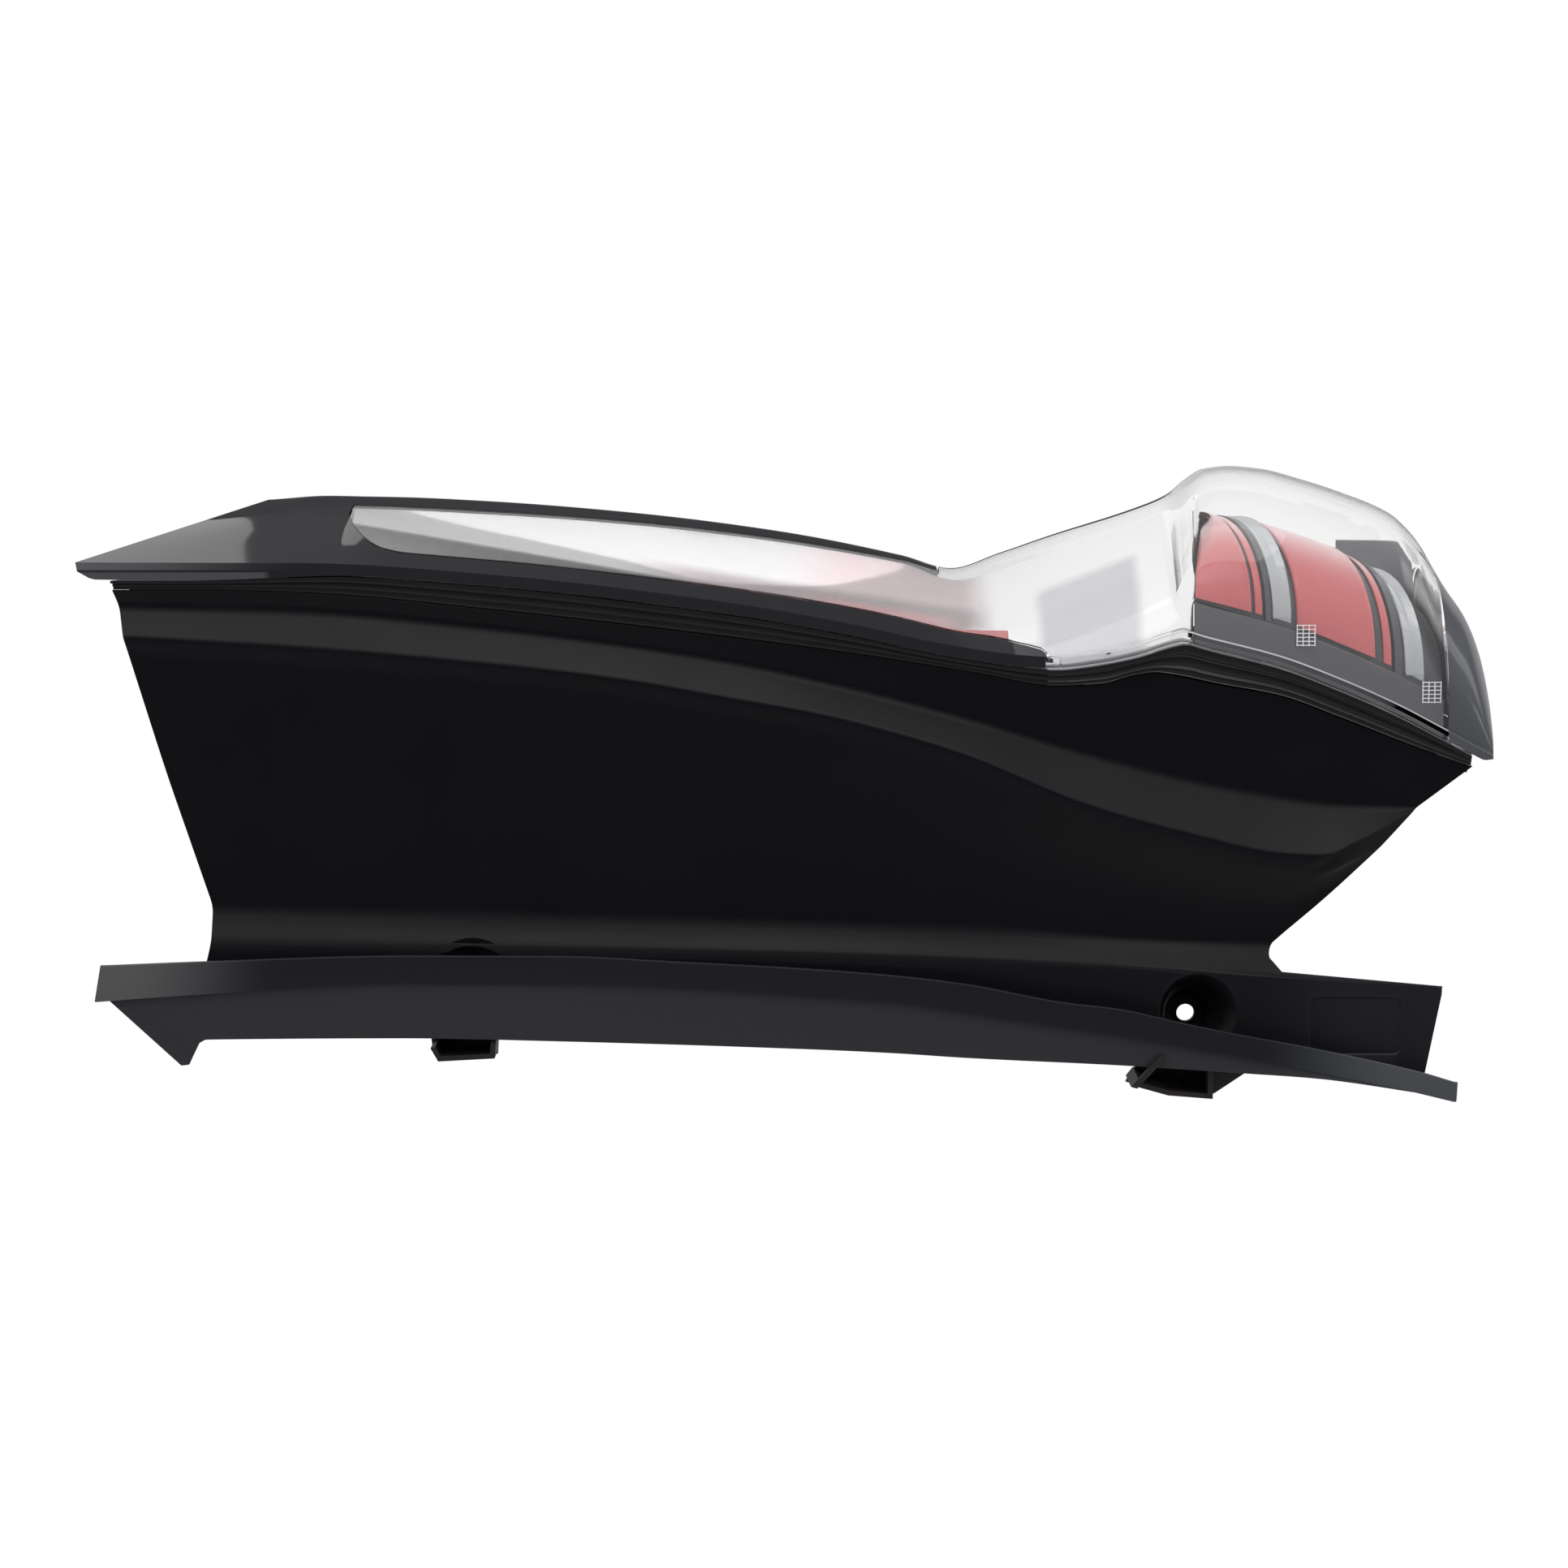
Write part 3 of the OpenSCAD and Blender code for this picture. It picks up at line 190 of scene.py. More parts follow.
# Curves and sections
def curve(points, x):
    if x <= points[0][0]:
        return points[0][1]
    if x >= points[-1][0]:
        return points[-1][1]
    k = max(i for i in range(len(points) - 1) if points[i][0] <= x)
    slope = lambda i: (points[i + 1][1] - points[i][1]) / (points[i + 1][0] - points[i][0])

    def tangent(i):
        if i == 0:
            return slope(0)
        if i == len(points) - 1:
            return slope(i - 1)
        a, b = slope(i - 1), slope(i)
        return 0.0 if a * b <= 0 else 2 * a * b / (a + b)

    h = points[k + 1][0] - points[k][0]
    t = (x - points[k][0]) / h
    u = 1 - t
    return (points[k][1] * (1 + 2 * t) * u * u + tangent(k) * h * t * u * u
            + points[k + 1][1] * t * t * (3 - 2 * t) - tangent(k + 1) * h * t * t * u)


def mix(a, b, f):
    return a + (b - a) * f


def span(a, b, n):
    return [a + (b - a) * i / n for i in range(n + 1)]


def fine(stations, step):
    out = []
    for a, b in zip(stations, stations[1:]):
        n = max(1, math.ceil((b - a) / step - 1e-6))
        out += [a + (b - a) * i / n for i in range(n)]
    return out + [stations[-1]]


def arch(near, crest, far, p, q, t):
    a = math.pi * t
    if t <= 0.5:
        c = max(0.0, math.cos(a))
        return (crest[0] - (crest[0] - near[0]) * c ** (2 / p),
                near[1] + (crest[1] - near[1]) * math.sin(a) ** (2 / p))
    c = max(0.0, -math.cos(a))
    return (crest[0] + (far[0] - crest[0]) * c ** (2 / q),
            far[1] + (crest[1] - far[1]) * max(0.0, math.sin(a)) ** (2 / q))


def slanted(x, y, z):
    return (x + curve(END_SLANT, x) * y, y, z)


def inset(x, y, z):
    return (x + curve(LIGHT_SLANT, x) * y, y, z)


def lens_point(x, t, depth):
    c = arch((depth, curve(NEAR_EDGE, x)), (curve(CREST_ACROSS, x), curve(CREST_HEIGHT, x) - depth),
             (curve(FAR_ACROSS, x) - depth, curve(FAR_EDGE, x)), curve(FULLNESS, x), FAR_FULLNESS, t)
    return slanted(x, c[0], c[1])


def share_at(x, y):
    c = curve(CREST_ACROSS, x)
    return math.acos(min(1.0, ((c - y) / c) ** (curve(FULLNESS, x) / 2))) / math.pi


def lens_height(x, y):
    c, n, h = curve(CREST_ACROSS, x), curve(NEAR_EDGE, x), curve(CREST_HEIGHT, x)
    f, e, p = curve(FAR_ACROSS, x), curve(FAR_EDGE, x), curve(FULLNESS, x)
    if y <= c:
        return n + (h - n) * max(0.0, 1 - ((c - y) / c) ** p) ** (1 / p)
    return e + (h - e) * max(0.0, 1 - ((y - c) / (f - c)) ** FAR_FULLNESS) ** (1 / FAR_FULLNESS)


def flange_top(x):
    return curve(NEAR_EDGE, x) - max(LENS_FOOT, curve(GARNISH_SIDE, x)) - GAP


# Meshes
def soften(ring, radii, steps=3):
    """Rounds the corners of a closed ring of points; a radius of 0 leaves its corner sharp."""
    n = len(ring)
    out = []
    for k in range(n):
        r = radii.get(k, 0) if isinstance(radii, dict) else radii
        p = np.array(ring[k])
        if not r:
            out.append(p)
            continue
        a, b = np.array(ring[k - 1]) - p, np.array(ring[(k + 1) % n]) - p
        la, lb = np.linalg.norm(a), np.linalg.norm(b)
        r = min(r, 0.45 * la, 0.45 * lb)
        a, b = p + a * r / max(la, 1e-9), p + b * r / max(lb, 1e-9)
        for i in range(steps + 1):
            t = i / steps
            out.append(a * (1 - t) ** 2 + p * 2 * t * (1 - t) + b * t * t)
    return out


def bands(n, m):
    """Faces between n closed rings of m points each."""
    return [(i * m + k, i * m + (k + 1) % m, (i + 1) * m + (k + 1) % m, (i + 1) * m + k)
            for i in range(n - 1) for k in range(m)]


def capped(rings, first, last):
    """Closed surface through closed rings; flat outlines say how its two end faces are cut."""
    n, m = len(rings), len(rings[0])
    faces = bands(n, m)
    for start, flat in ((0, first), ((n - 1) * m, last)):
        faces += [tuple(start + k for k in t) for t in tessellate_polygon([flat])]
    return [tuple(p) for r in rings for p in r], faces


def loft(rings):
    """Closed surface through rings that stand nearly across the lamp."""
    return capped(rings, *([Vector((0.02 * p[0], p[1], p[2])) for p in rings[i]] for i in (0, -1)))


def drum(rings):
    """Closed surface through round rings."""
    n, m = len(rings), len(rings[0])
    ends = [tuple(range(start, start + m)) for start in (0, (n - 1) * m)]
    return [tuple(p) for r in rings for p in r], bands(n, m) + ends


def rod(start, end, radius, sides=10):
    """Round rod between two places."""
    a, b = np.array(start, float), np.array(end, float)
    z = (b - a) / np.linalg.norm(b - a)
    u = np.cross(z, (0, 0, 1) if abs(z[2]) < 0.9 else (1, 0, 0))
    u /= np.linalg.norm(u)
    v = np.cross(z, u)
    turns = np.linspace(0, 2 * math.pi, sides, endpoint=False)
    return drum([[p + radius * (math.cos(t) * u + math.sin(t) * v) for t in turns] for p in (a, b)])


def sheet(upper, lower, keep=None):
    """Wall between two grids of points; cells that keep refuses are left open."""
    n, m = len(upper), len(upper[0])
    held = lambda i, j: 0 <= i < n - 1 and 0 <= j < m - 1 and (keep is None or keep(i, j))
    a = lambda i, j: i * m + j
    b = lambda i, j: (n + i) * m + j
    faces = []
    for i in range(n - 1):
        for j in range(m - 1):
            if not held(i, j):
                continue
            k, l = i + 1, j + 1
            faces += [(a(i, j), a(k, j), a(k, l), a(i, l)), (b(i, j), b(i, l), b(k, l), b(k, j))]
            faces += [edge for closed, edge in (
                (held(i, j - 1), (a(i, j), b(i, j), b(k, j), a(k, j))),
                (held(i, l), (a(i, l), a(k, l), b(k, l), b(i, l))),
                (held(i - 1, j), (a(i, j), a(i, l), b(i, l), b(i, j))),
                (held(k, j), (a(k, j), b(k, j), b(k, l), a(k, l)))) if not closed]
    return [tuple(p) for g in (upper, lower) for r in g for p in r], faces


def walled(row, stations, keep=None):
    """Wall between the outer and the inner rows that a function gives at each station."""
    return sheet([row(x, False) for x in stations], [row(x, True) for x in stations], keep)


def joined(parts):
    """One list of points and faces from several closed meshes."""
    verts, faces = [], []
    for v, f in parts:
        faces += [tuple(k + len(verts) for k in face) for face in f]
        verts += list(v)
    return verts, faces


def make_mesh(name, verts, faces, material=None, angle=30):
    """An object at the origin from points in millimetres, smooth but for its sharp edges."""
    mesh = bpy.data.meshes.new(name)
    mesh.from_pydata([tuple(c * MM for c in v) for v in verts], [], faces)
    work = bmesh.new()
    work.from_mesh(mesh)
    bmesh.ops.delete(work, geom=[v for v in work.verts if not v.link_faces], context="VERTS")
    bmesh.ops.recalc_face_normals(work, faces=work.faces)
    work.to_mesh(mesh)
    work.free()
    mesh.update()
    mesh.polygons.foreach_set("use_smooth", [True] * len(mesh.polygons))
    mesh.set_sharp_from_angle(angle=math.radians(angle))
    if material:
        mesh.materials.append(material)
    obj = bpy.data.objects.new(name, mesh)
    bpy.context.scene.collection.objects.link(obj)
    return obj


def settle(obj, slot, *nodes):
    """Hangs a finished piece on the frame's root and hides the CAD nodes it stands for; its slot is not
    used.
    """
    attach(obj, "root")
    if nodes:
        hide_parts(*nodes)
    return obj


def finished(name, mesh, slot, angle=30):
    """A piece that stands for the node of its name, in the finish of its slot."""
    return settle(make_mesh(name, *mesh, material(slot), angle), slot, name)


def painted_highlight_faces(obj, slot, test):
    """Gives faces another material if their middle, in millimetres, and normal pass a test; here it
    lays on painted highlights.
    """
    obj.data.materials.append(material(slot))
    for face in obj.data.polygons:
        if test(face.center / MM, face.normal):
            face.material_index = 1


def baked(obj, angle=30):
    """Turns an object's modifiers into plain mesh."""
    graph = bpy.context.evaluated_depsgraph_get()
    mesh = bpy.data.meshes.new_from_object(obj.evaluated_get(graph))
    obj.modifiers.clear()
    old = obj.data
    obj.data = mesh
    mesh.name = obj.name
    bpy.data.meshes.remove(old)
    mesh.polygons.foreach_set("use_smooth", [True] * len(mesh.polygons))
    mesh.set_sharp_from_angle(angle=math.radians(angle))
    return obj


def combine(obj, others, operation):
    """Cuts or joins helper solids into an object, exactly, and removes the helpers."""
    for other in others:
        m = obj.modifiers.new("combine", "BOOLEAN")
        m.operation = operation
        m.solver = "EXACT"
        m.object = other
    bpy.context.view_layer.update()
    baked(obj)
    for other in others:
        bpy.data.objects.remove(other)
    return obj


# Materials
def add_node(tree, kind, inputs=(), **settings):
    """Adds a node with its settings; an input takes a value, a socket or a node's first output."""
    node = tree.nodes.new(kind)
    for key, value in settings.items():
        setattr(node, key, value)
    for key, value in dict(inputs).items():
        if isinstance(value, bpy.types.Node):
            value = value.outputs[0]
        if isinstance(value, bpy.types.NodeSocket):
            tree.links.new(value, node.inputs[key])
        else:
            node.inputs[key].default_value = value
    return node


def node_group(name, inputs, outputs):
    """A new group of shader nodes with its inputs by name and start value and its outputs by name."""
    group = bpy.data.node_groups.new(name, "ShaderNodeTree")
    for label, value in inputs.items():
        kind = "NodeSocketFloat" if isinstance(value, float) else "NodeSocketVector"
        group.interface.new_socket(label, in_out="INPUT", socket_type=kind).default_value = value
    for label in outputs:
        group.interface.new_socket(label, in_out="OUTPUT", socket_type="NodeSocketFloat")
    return group, group.nodes.new("NodeGroupInput"), group.nodes.new("NodeGroupOutput")


def surface_group():
    """Shared effect: broad and fine noise as a height, a roughness and a shade."""
    name = "Surface variation"
    if name in bpy.data.node_groups:
        return bpy.data.node_groups[name]
    group, gin, gout = node_group(name, {"Grain size": 1.0, "Roughness": 0.4, "Spread": 0.05},
                                  ["Height", "Roughness", "Shade"])
    place = add_node(group, "ShaderNodeTexCoord").outputs["Object"]
    per_metre = add_node(group, "ShaderNodeMath", {0: 1 / MM, 1: gin.outputs["Grain size"]},
                         operation="DIVIDE")
    grain = add_node(group, "ShaderNodeTexNoise",
                     {"Vector": place, "Scale": per_metre, "Detail": 3.0})
    broad = add_node(group, "ShaderNodeTexNoise", {"Vector": place, "Scale": 26.0, "Detail": 4.0})
    off = add_node(group, "ShaderNodeMath", {0: broad, 1: 0.5}, operation="SUBTRACT")
    rough = add_node(group, "ShaderNodeMath",
                     {0: off, 1: gin.outputs["Spread"], 2: gin.outputs["Roughness"]},
                     operation="MULTIPLY_ADD")
    for label, source in (("Height", grain), ("Shade", broad), ("Roughness", rough)):
        group.links.new(source.outputs[0], gout.inputs[label])
    return group


def zone_group():
    """Shared effect: a mask that is 1 between two places on an axis and two along the lamp."""
    name = "Zone on an axis"
    if name in bpy.data.node_groups:
        return bpy.data.node_groups[name]
    limits = {before + label: 0.0 for before in ("", "X ")
              for label in ("Rise start", "Rise end", "Fall start", "Fall end")}
    group, gin, gout = node_group(name, {"Axis": (0.0, 1.0, 0.0), **limits}, ["Mask"])
    place = add_node(group, "ShaderNodeTexCoord").outputs["Object"]
    along = add_node(group, "ShaderNodeVectorMath", {0: place, 1: gin.outputs["Axis"]},
                     operation="DOT_PRODUCT")
    split = add_node(group, "ShaderNodeSeparateXYZ", {0: place})
    mask = None
    for before, value in (("", along.outputs["Value"]), ("X ", split.outputs["X"])):
        for label, first, last in (("Rise", 0.0, 1.0), ("Fall", 1.0, 0.0)):
            ramp = add_node(group, "ShaderNodeMapRange",
                            {"Value": value, "To Min": first, "To Max": last,
                             "From Min": gin.outputs[before + label + " start"],
                             "From Max": gin.outputs[before + label + " end"]},
                            interpolation_type="SMOOTHSTEP")
            mask = ramp if mask is None else add_node(group, "ShaderNodeMath", {0: mask, 1: ramp},
                                                      operation="MULTIPLY")
    group.links.new(mask.outputs[0], gout.inputs["Mask"])
    return group


def add_zone(mat, axis, low, high, soft, start, end, edge, colour):
    """Turns a material's colour to another one in a part of its piece, in millimetres."""
    tree = mat.node_tree
    socket = tree.nodes["Principled BSDF"].inputs["Base Color"]
    zone = add_node(tree, "ShaderNodeGroup", node_tree=zone_group())
    zone.inputs["Axis"].default_value = axis
    for name, place, reach in (("Rise", low, soft), ("Fall", high, soft), ("X Rise", start, edge),
                               ("X Fall", end, edge)):
        zone.inputs[name + " start"].default_value = (place - reach) * MM
        zone.inputs[name + " end"].default_value = (place + reach) * MM
    blend = add_node(tree, "ShaderNodeMix", {"Factor": zone.outputs["Mask"],
                                             "A": socket.links[0].from_socket, "B": (*colour, 1)},
                     data_type="RGBA")
    tree.links.new(blend.outputs["Result"], socket)


def plain_material(name, base, rough, grain=0.6, bump=0.02, spread=0.08, shade=0.12, zones=(),
                   **values):
    """A principled material with noise in its colour, its roughness and its height."""
    mat = bpy.data.materials.get(name)
    if mat:
        return mat
    mat = bpy.data.materials.new(name)
    mat.use_nodes = True
    mat.diffuse_color = (*base[:3], 1)
    tree = mat.node_tree
    bsdf = tree.nodes["Principled BSDF"]
    for key, value in values.items():
        bsdf.inputs[key.replace("_", " ")].default_value = value
    group = add_node(tree, "ShaderNodeGroup",
                     {"Grain size": grain, "Roughness": rough, "Spread": spread},
                     node_tree=surface_group())
    dark, light = (tuple(min(1, c * (1 + f)) for c in base[:3]) + (1,) for f in (-shade, shade))
    tint = add_node(tree, "ShaderNodeMix", {"Factor": group.outputs["Shade"], "A": dark, "B": light},
                    data_type="RGBA", label="Shade")
    relief = add_node(tree, "ShaderNodeBump",
                      {"Strength": 1.0, "Distance": bump * MM, "Height": group.outputs["Height"]})
    tree.links.new(group.outputs["Roughness"], bsdf.inputs["Roughness"])
    tree.links.new(tint.outputs["Result"], bsdf.inputs["Base Color"])
    tree.links.new(relief.outputs["Normal"], bsdf.inputs["Normal"])
    for zone in zones:
        add_zone(mat, *zone)
    return mat


def lens_material(name, base, rough, ior, clear=1.0):
    """Clear moulding: glass that lets the shadow rays through."""
    mat = bpy.data.materials.get(name)
    if mat:
        return mat
    mat = plain_material(name, base, rough, grain=3.0, bump=0.002, spread=0.01, shade=0.01,
                         Transmission_Weight=clear, IOR=ior)
    tree = mat.node_tree
    both = add_node(tree, "ShaderNodeMixShader",
                    {0: add_node(tree, "ShaderNodeLightPath").outputs["Is Shadow Ray"],
                     1: tree.nodes["Principled BSDF"],
                     2: add_node(tree, "ShaderNodeBsdfTransparent")})
    tree.links.new(both.outputs[0], tree.nodes["Material Output"].inputs["Surface"])
    return mat


# Painted reflections on the reflector, as tints: an axis with two limits and softness, the same along
# the lamp, and a colour
FAR = 1000.0
REFLECTOR_PAINTED_REFLECTIONS = [
    ((1, 0, 0), -147, FAR, 14, -FAR, FAR, 1, (0.6, 0.49, 0.505)),
    ((-0.153, -0.103, -0.983), -145.2, FAR, 2.5, -210, -60, 24, (0.3, 0.26, 0.265)),
    ((-0.176, -0.103, -0.979), -138.2, FAR, 2, -146, -88, 12, (0.5, 0.25, 0.26)),
    ((-0.163, -0.103, -0.981), -137.8, FAR, 0.8, -FAR, -180, 10, (0.03, 0.03, 0.032)),
    ((1, 0, 0), -80, FAR, 7, -FAR, FAR, 1, (0.97, 0.96, 0.96)),
    ((0.362, -0.097, -0.927), -175.6, FAR, 2.4, -57, -17.5, 3, (0.66, 0.65, 0.68)),
]
# Painted light on other pieces: lighter parts that stand for highlights, reflections and light falling
# on them, in the same order of values
# Painted highlights on the gloss frame's side wall near its tip
FRAME_PAINTED_HIGHLIGHTS = [
    ((0, 0, 1), 175.2, 178.3, 0.4, -FAR, -390, 45, (0.19, 0.187, 0.2)),
    ((0, 0, 1), -FAR, 174.4, 0.4, -FAR, -362, 2, (0.12, 0.12, 0.132)),
]
# Painted light: the panel's low right end with its tab is lighter, as if lit from the right
TAB_PAINTED_LIGHT = ((0, 0, -1), -22, FAR, 4, 45, FAR, 25, (0.022, 0.023, 0.028))
# Painted light: the rail and lower flange, standing forward of the wall, are lighter than the wall, as
# if they caught more light
RAIL_PAINTED_LIGHT = ((0, -1, 0), 13.65, FAR, 0.85, -FAR, FAR, 1)
# Painted light on the rail and flange: a lighter band, and lighter left and right ends where light
# falls on their curves
FLANGE_PAINTED_LIGHT = [
    ((0, -1, 0), 20.5, 23.3, 0.4, -FAR, FAR, 1, (0.055, 0.056, 0.063)),
    ((0, -1, 0), 23.3, FAR, 0.4, -FAR, -388, 32, (0.17, 0.168, 0.172)),
    ((0, -1, 0), 20, FAR, 1, 55, FAR, 30, (0.13, 0.137, 0.148)),
]
# Painted light: the bezel is lighter towards its back, against the shade that falls there
BEZEL_PAINTED_LIGHT = [((0, 1, 0), 62, FAR, 6, 62, FAR, 6, (0.16, 0.164, 0.176))]
# Painted reflection: the red covers are paler towards their far side, standing for the lens's pale
# reflection over them
RED_PAINTED_REFLECTION = [((0, 1, 0), 34, FAR, 20, -20, FAR, 10, (0.66, 0.42, 0.43))]


def material(slot):
    """The material of one of the record's slots."""
    p = bpy.context.scene.lamp_finish
    name = "made_" + slot
    if slot == "clear_lens":
        return lens_material(name, (0.99, 0.99, 0.99), 0.0, 1.45)
    if slot == "frosted_optic":
        return lens_material(name, (0.8, 0.81, 0.82), 0.1, 1.4, 0.75)
    moulded = dict(grain=3.0, bump=0.0008, spread=0.03)
    # Settings shared by the two painted highlights on up-facing edges
    edge = dict(grain=2.0, bump=0.01, shade=0.2)
    table = {
        "gloss_black": dict(base=p.garnish_colour, rough=0.05, grain=4.0, bump=0.0006, spread=0.02,
                            IOR=1.5, zones=FRAME_PAINTED_HIGHLIGHTS),
        "smoked_cap": dict(base=p.cap_colour, rough=0.14, **moulded),
        "black_housing": dict(base=(0.018, 0.018, 0.02), rough=0.32, bump=0.01),
        # The panel carries painted light on its tab, its rail, its flange band and its ends
        "grained_panel": dict(base=p.panel_colour, rough=p.panel_roughness, grain=p.grain_size / MM,
                              bump=p.grain_depth / MM, spread=0.1, Specular_IOR_Level=0.3,
                              zones=[TAB_PAINTED_LIGHT, (*RAIL_PAINTED_LIGHT, p.rail_painted_light_colour), *FLANGE_PAINTED_LIGHT]),
        # Chrome whose colour carries the painted reflections above
        "bright_reflector": dict(base=(0.58, 0.57, 0.575), rough=0.1, Metallic=1.0, grain=4.0,
                                 bump=0.001, spread=0.03, shade=0.02, zones=REFLECTOR_PAINTED_REFLECTIONS),
        "grey_bezel": dict(base=p.bezel_colour, rough=0.3, shade=0.05, zones=BEZEL_PAINTED_LIGHT, **moulded),
        "red_cover": dict(base=p.red_colour, rough=0.2, shade=0.05, zones=RED_PAINTED_REFLECTION, **moulded),
        # Painted highlights on up-facing faces of the lens lip and of the housing's ribbed flange; the
        # first also colours the pads' own white rods
        "lens_edge": dict(base=(0.8, 0.81, 0.83), rough=0.25, **edge),
        "rib_edge": dict(base=(0.24, 0.245, 0.255), rough=0.3, **edge),
        "circuit_board": dict(base=(0.02, 0.16, 0.07), rough=0.4),
        "chip_yellow": dict(base=(0.85, 0.78, 0.35), rough=0.3),
        "bare_aluminium": dict(base=(0.6, 0.61, 0.63), rough=0.42, Metallic=1.0, bump=0.02),
        "amber_bulb": dict(base=(0.95, 0.45, 0.06), rough=0.08, bump=0.001),
        "black_fitting": dict(base=(0.03, 0.03, 0.032), rough=0.5),
        "seal_rubber": dict(base=(0.025, 0.025, 0.025), rough=0.85, bump=0.03),
        "contact_brass": dict(base=(0.8, 0.6, 0.28), rough=0.28, Metallic=1.0),
        "coated_steel": dict(base=(0.035, 0.03, 0.026), rough=0.5, bump=0.04, shade=0.35),
        "clip_natural": dict(base=(0.62, 0.6, 0.55), rough=0.5),
    }
    return plain_material(name, **table[slot])


# Pieces
LENS_START = -345.0
LENS_END = 102.6
SHARED = [-333, -329, -324, -317, -308] + span(-290, -110, 8)
LENS_STATIONS = ([LENS_START, -340, WINDOW_START, WINDOW_START + WINDOW_GAP] + SHARED
                 + [FAR_STRIP_END + GAP, FAR_STRIP_END + 1, -84, -72, -64, WINDOW_END + GAP,
                    WINDOW_END + 1, -45, -33, -20, -10, -4, 0, 4, 9] + span(16, 86, 6) + [94, LENS_END])
LENS_CUTS = [3, 1, 4, 4, 4, 4, 4, 1, 6, 4, 4, 4, 4]
SUNK = GARNISH_WALL + GAP
NEAR_SUNK = [(WINDOW_END + GAP, 1), (WINDOW_END + 1, 0)]
FAR_SUNK = [(FAR_STRIP_END + GAP, 1), (FAR_STRIP_END + 1, 0)]
RIBBED_LIP = [(WINDOW_END + GAP, 0), (WINDOW_END + 6, 1)]
FAR_SHARES = [0.5, 0.62, 0.75, 0.88, 1.0]
# Right of the window, as shares of the section: the near line's two ends, the far line and one mm
NEAR_LINE = (0.035, 0.07)
FAR_LINE = 0.36
ONE_MM = 0.006
NEAR_LINE_RUN = 50
STEP = 2.5


def near_line(x, extra):
    if x < WINDOW_END:
        return share_at(x, curve(WINDOW_NEAR, x) + extra)
    return mix(*NEAR_LINE, min(1, (x - WINDOW_END) / NEAR_LINE_RUN)) + extra * ONE_MM


def far_line(x, extra):
    if x < WINDOW_FAR[-1][0]:
        return share_at(x, curve(WINDOW_FAR, x) + extra)
    return FAR_LINE + extra * ONE_MM


def lens_normal(x, s):
    """Direction out of the lens surface at a share of its section."""
    low, high = max(0.0, s - 0.002), min(1.0, s + 0.002)
    along = np.subtract(lens_point(x + 0.5, s, 0), lens_point(x - 0.5, s, 0))
    across = np.subtract(lens_point(x, high, 0), lens_point(x, low, 0))
    n = np.cross(along, across)
    return n / np.linalg.norm(n)


def lens_row(x, inside):
    """One section of the lens; its inner side runs parallel to the outer one."""
    foot = curve(NEAR_EDGE, x)
    y = mix(SUNK, -LENS_LIP, curve(RIBBED_LIP, x))
    w = LENS_WALL if inside else 0.0
    near, far = near_line(x, 0), far_line(x, 0)
    shares = [0.0, near] + [mix(near_line(x, WINDOW_GAP), far, f) for f in span(0, 1, 5)]
    shares += [far_line(x, WINDOW_GAP)] + FAR_SHARES
    n, f = SUNK * curve(NEAR_SUNK, x), SUNK * curve(FAR_SUNK, x)
    depths = [n, n] + [SUNK if x <= WINDOW_START else 0.0] * 6 + [f] * 6
    row = [slanted(x, y + w, foot - LENS_FOOT), slanted(x, y + w, foot - 0.6 - w * 0.8)]
    pairs = list(zip(shares, depths))
    points = [pairs[0]]
    for (s0, d0), (s1, d1), cut in zip(pairs, pairs[1:], LENS_CUTS):
        points += [(mix(s0, s1, (i + 1) / cut), mix(d0, d1, (i + 1) / cut)) for i in range(cut)]
    for s, d in points:
        if inside:
            row.append(tuple(lens_point(x, s, 0) - lens_normal(x, s) * (w + d)))
        else:
            row.append(lens_point(x, s, d))
    return row


def build_lens():
    """The clear cover; the top of its lip is painted whitish as a painted highlight."""
    mesh = walled(lens_row, fine(LENS_STATIONS, STEP))
    obj = make_mesh("outer_lens", *mesh, material("clear_lens"), 25)
    # Painted highlight: up-facing faces on top of the lip get a whitish opaque material
    painted_highlight_faces(obj, "lens_edge", lambda c, n: (c.x > WINDOW_END and c.y < -0.05 and n.z > 0.6
                                                  and c.z > curve(NEAR_EDGE, c.x) - 1.5))
    return settle(obj, "clear_lens", "outer_lens")


# The wall in the frame's left end: places along the lamp, shares of the section, foot and top
END_WALL = (-436, -434.4)
END_WALL_SHARES = span(0.012, 0.985, 48)
END_WALL_FOOT = 177.4
END_WALL_FALL = 0.012
END_WALL_TOP = 178


